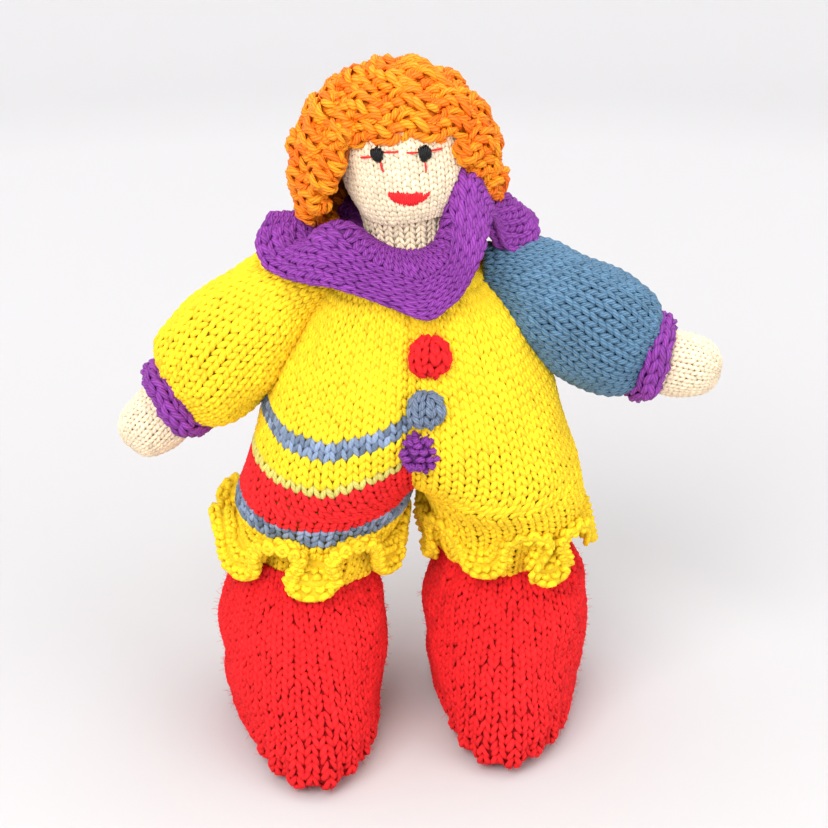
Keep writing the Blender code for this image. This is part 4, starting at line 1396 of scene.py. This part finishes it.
for name in SIDES:
    make_body(name)
    make_sleeve(name)
    make_cuff(name)
    make_hand(name)
    make_boot(name)
    make_frill(name)
make_neck()
make_head_knit()
make_face()
make_hair()
make_collar()
for name in BOBBLES:
    make_bobble(name)


# ---------------------------------------------------------------- camera, light and stage

VIEW_DISTANCE = 0.75
VIEW_RISE = math.radians(24)
VIEW_SPAN = 0.348
VIEW_HEIGHT = 0.136
LIGHT_TARGET = (0, 0, 0.12)


def make_camera():
    data = bpy.data.cameras.new("camera")
    data.sensor_width = 36
    data.lens = 36 * VIEW_DISTANCE / VIEW_SPAN
    camera = bpy.data.objects.new("camera", data)
    bpy.context.scene.collection.objects.link(camera)
    target = Vector(to_frame([0.84, 0, VIEW_HEIGHT / MM]))
    away = Vector((0, -math.cos(VIEW_RISE), math.sin(VIEW_RISE)))
    camera.location = target + away * VIEW_DISTANCE
    camera.rotation_euler = (-away).to_track_quat("-Z", "Y").to_euler()
    bpy.context.scene.camera = camera


def area_light(name, location, size, power):
    """A soft square or oblong light that points at the doll."""
    data = bpy.data.lights.new(name, "AREA")
    data.shape = "RECTANGLE"
    data.size, data.size_y = size
    data.energy = power
    light = bpy.data.objects.new(name, data)
    bpy.context.scene.collection.objects.link(light)
    light.location = location
    light.rotation_euler = (Vector(LIGHT_TARGET) - Vector(location)).to_track_quat("-Z", "Y").to_euler()


def make_stage():
    """A pale round floor that curves up into a wall on every side, painted darker in the middle of the floor
    and lighter out towards the wall, as painted shade and painted light.
    """
    material = bpy.data.materials.new("backdrop")
    material.use_nodes = True
    tree = material.node_tree
    shader = tree.nodes["Principled BSDF"]
    shader.inputs["Roughness"].default_value = 0.9
    place = tree.nodes.new("ShaderNodeTexCoord")
    distance = tree.nodes.new("ShaderNodeVectorMath")
    distance.operation = "LENGTH"
    link(tree, place.outputs["Object"], distance.inputs[0])
    # The colour runs from darker near the middle to lighter out on the wall: painted shade on the floor under
    # the doll and painted light on the wall.
    ramp = tree.nodes.new("ShaderNodeValToRGB")
    ramp.color_ramp.elements[0].position = 0.2
    ramp.color_ramp.elements[0].color = (0.60, 0.594, 0.602, 1)
    ramp.color_ramp.elements[1].position = 0.95
    ramp.color_ramp.elements[1].color = (0.85, 0.845, 0.852, 1)
    link(tree, distance.outputs["Value"], ramp.inputs[0])
    link(tree, ramp.outputs[0], shader.inputs["Base Color"])
    flat, bend, top = 1.15, 0.6, 1.2
    profile = [(0.02, 0.0), (flat / 2, 0.0), (flat, 0.0)]
    for turn in np.linspace(0, math.pi / 2, 17)[1:]:
        profile.append((flat + bend * math.sin(turn), bend * (1 - math.cos(turn))))
    profile.append((flat + bend, top))
    count = 96
    points, faces = [], []
    for reach, height in profile:
        for i in range(count):
            turn = 2 * math.pi * i / count
            points.append((reach * math.cos(turn), reach * math.sin(turn), height))
    for row in range(len(profile) - 1):
        for i in range(count):
            a, b = row * count + i, row * count + (i + 1) % count
            faces.append((a, b, b + count, a + count))
    faces.append(tuple(reversed(range(count))))
    mesh = bpy.data.meshes.new("stage")
    mesh.from_pydata(points, [], faces)
    mesh.shade_smooth()
    mesh.materials.append(material)
    stage = bpy.data.objects.new("stage", mesh)
    bpy.context.scene.collection.objects.link(stage)


def make_light():
    world = bpy.data.worlds.new("studio")
    bpy.context.scene.world = world
    world.use_nodes = True
    sky = world.node_tree.nodes["Background"]
    sky.inputs["Color"].default_value = (1.0, 0.985, 0.99, 1)
    sky.inputs["Strength"].default_value = 0.54
    area_light("key", (-0.5, -0.9, 1.1), (0.9, 0.9), 16)
    area_light("top", (0.1, 0.1, 1.2), (1.2, 1.0), 8)
    area_light("fill", (0.9, -0.6, 0.6), (0.8, 0.8), 4)


make_camera()
make_light()
make_stage()
bpy.context.scene.view_settings.view_transform = "Standard"
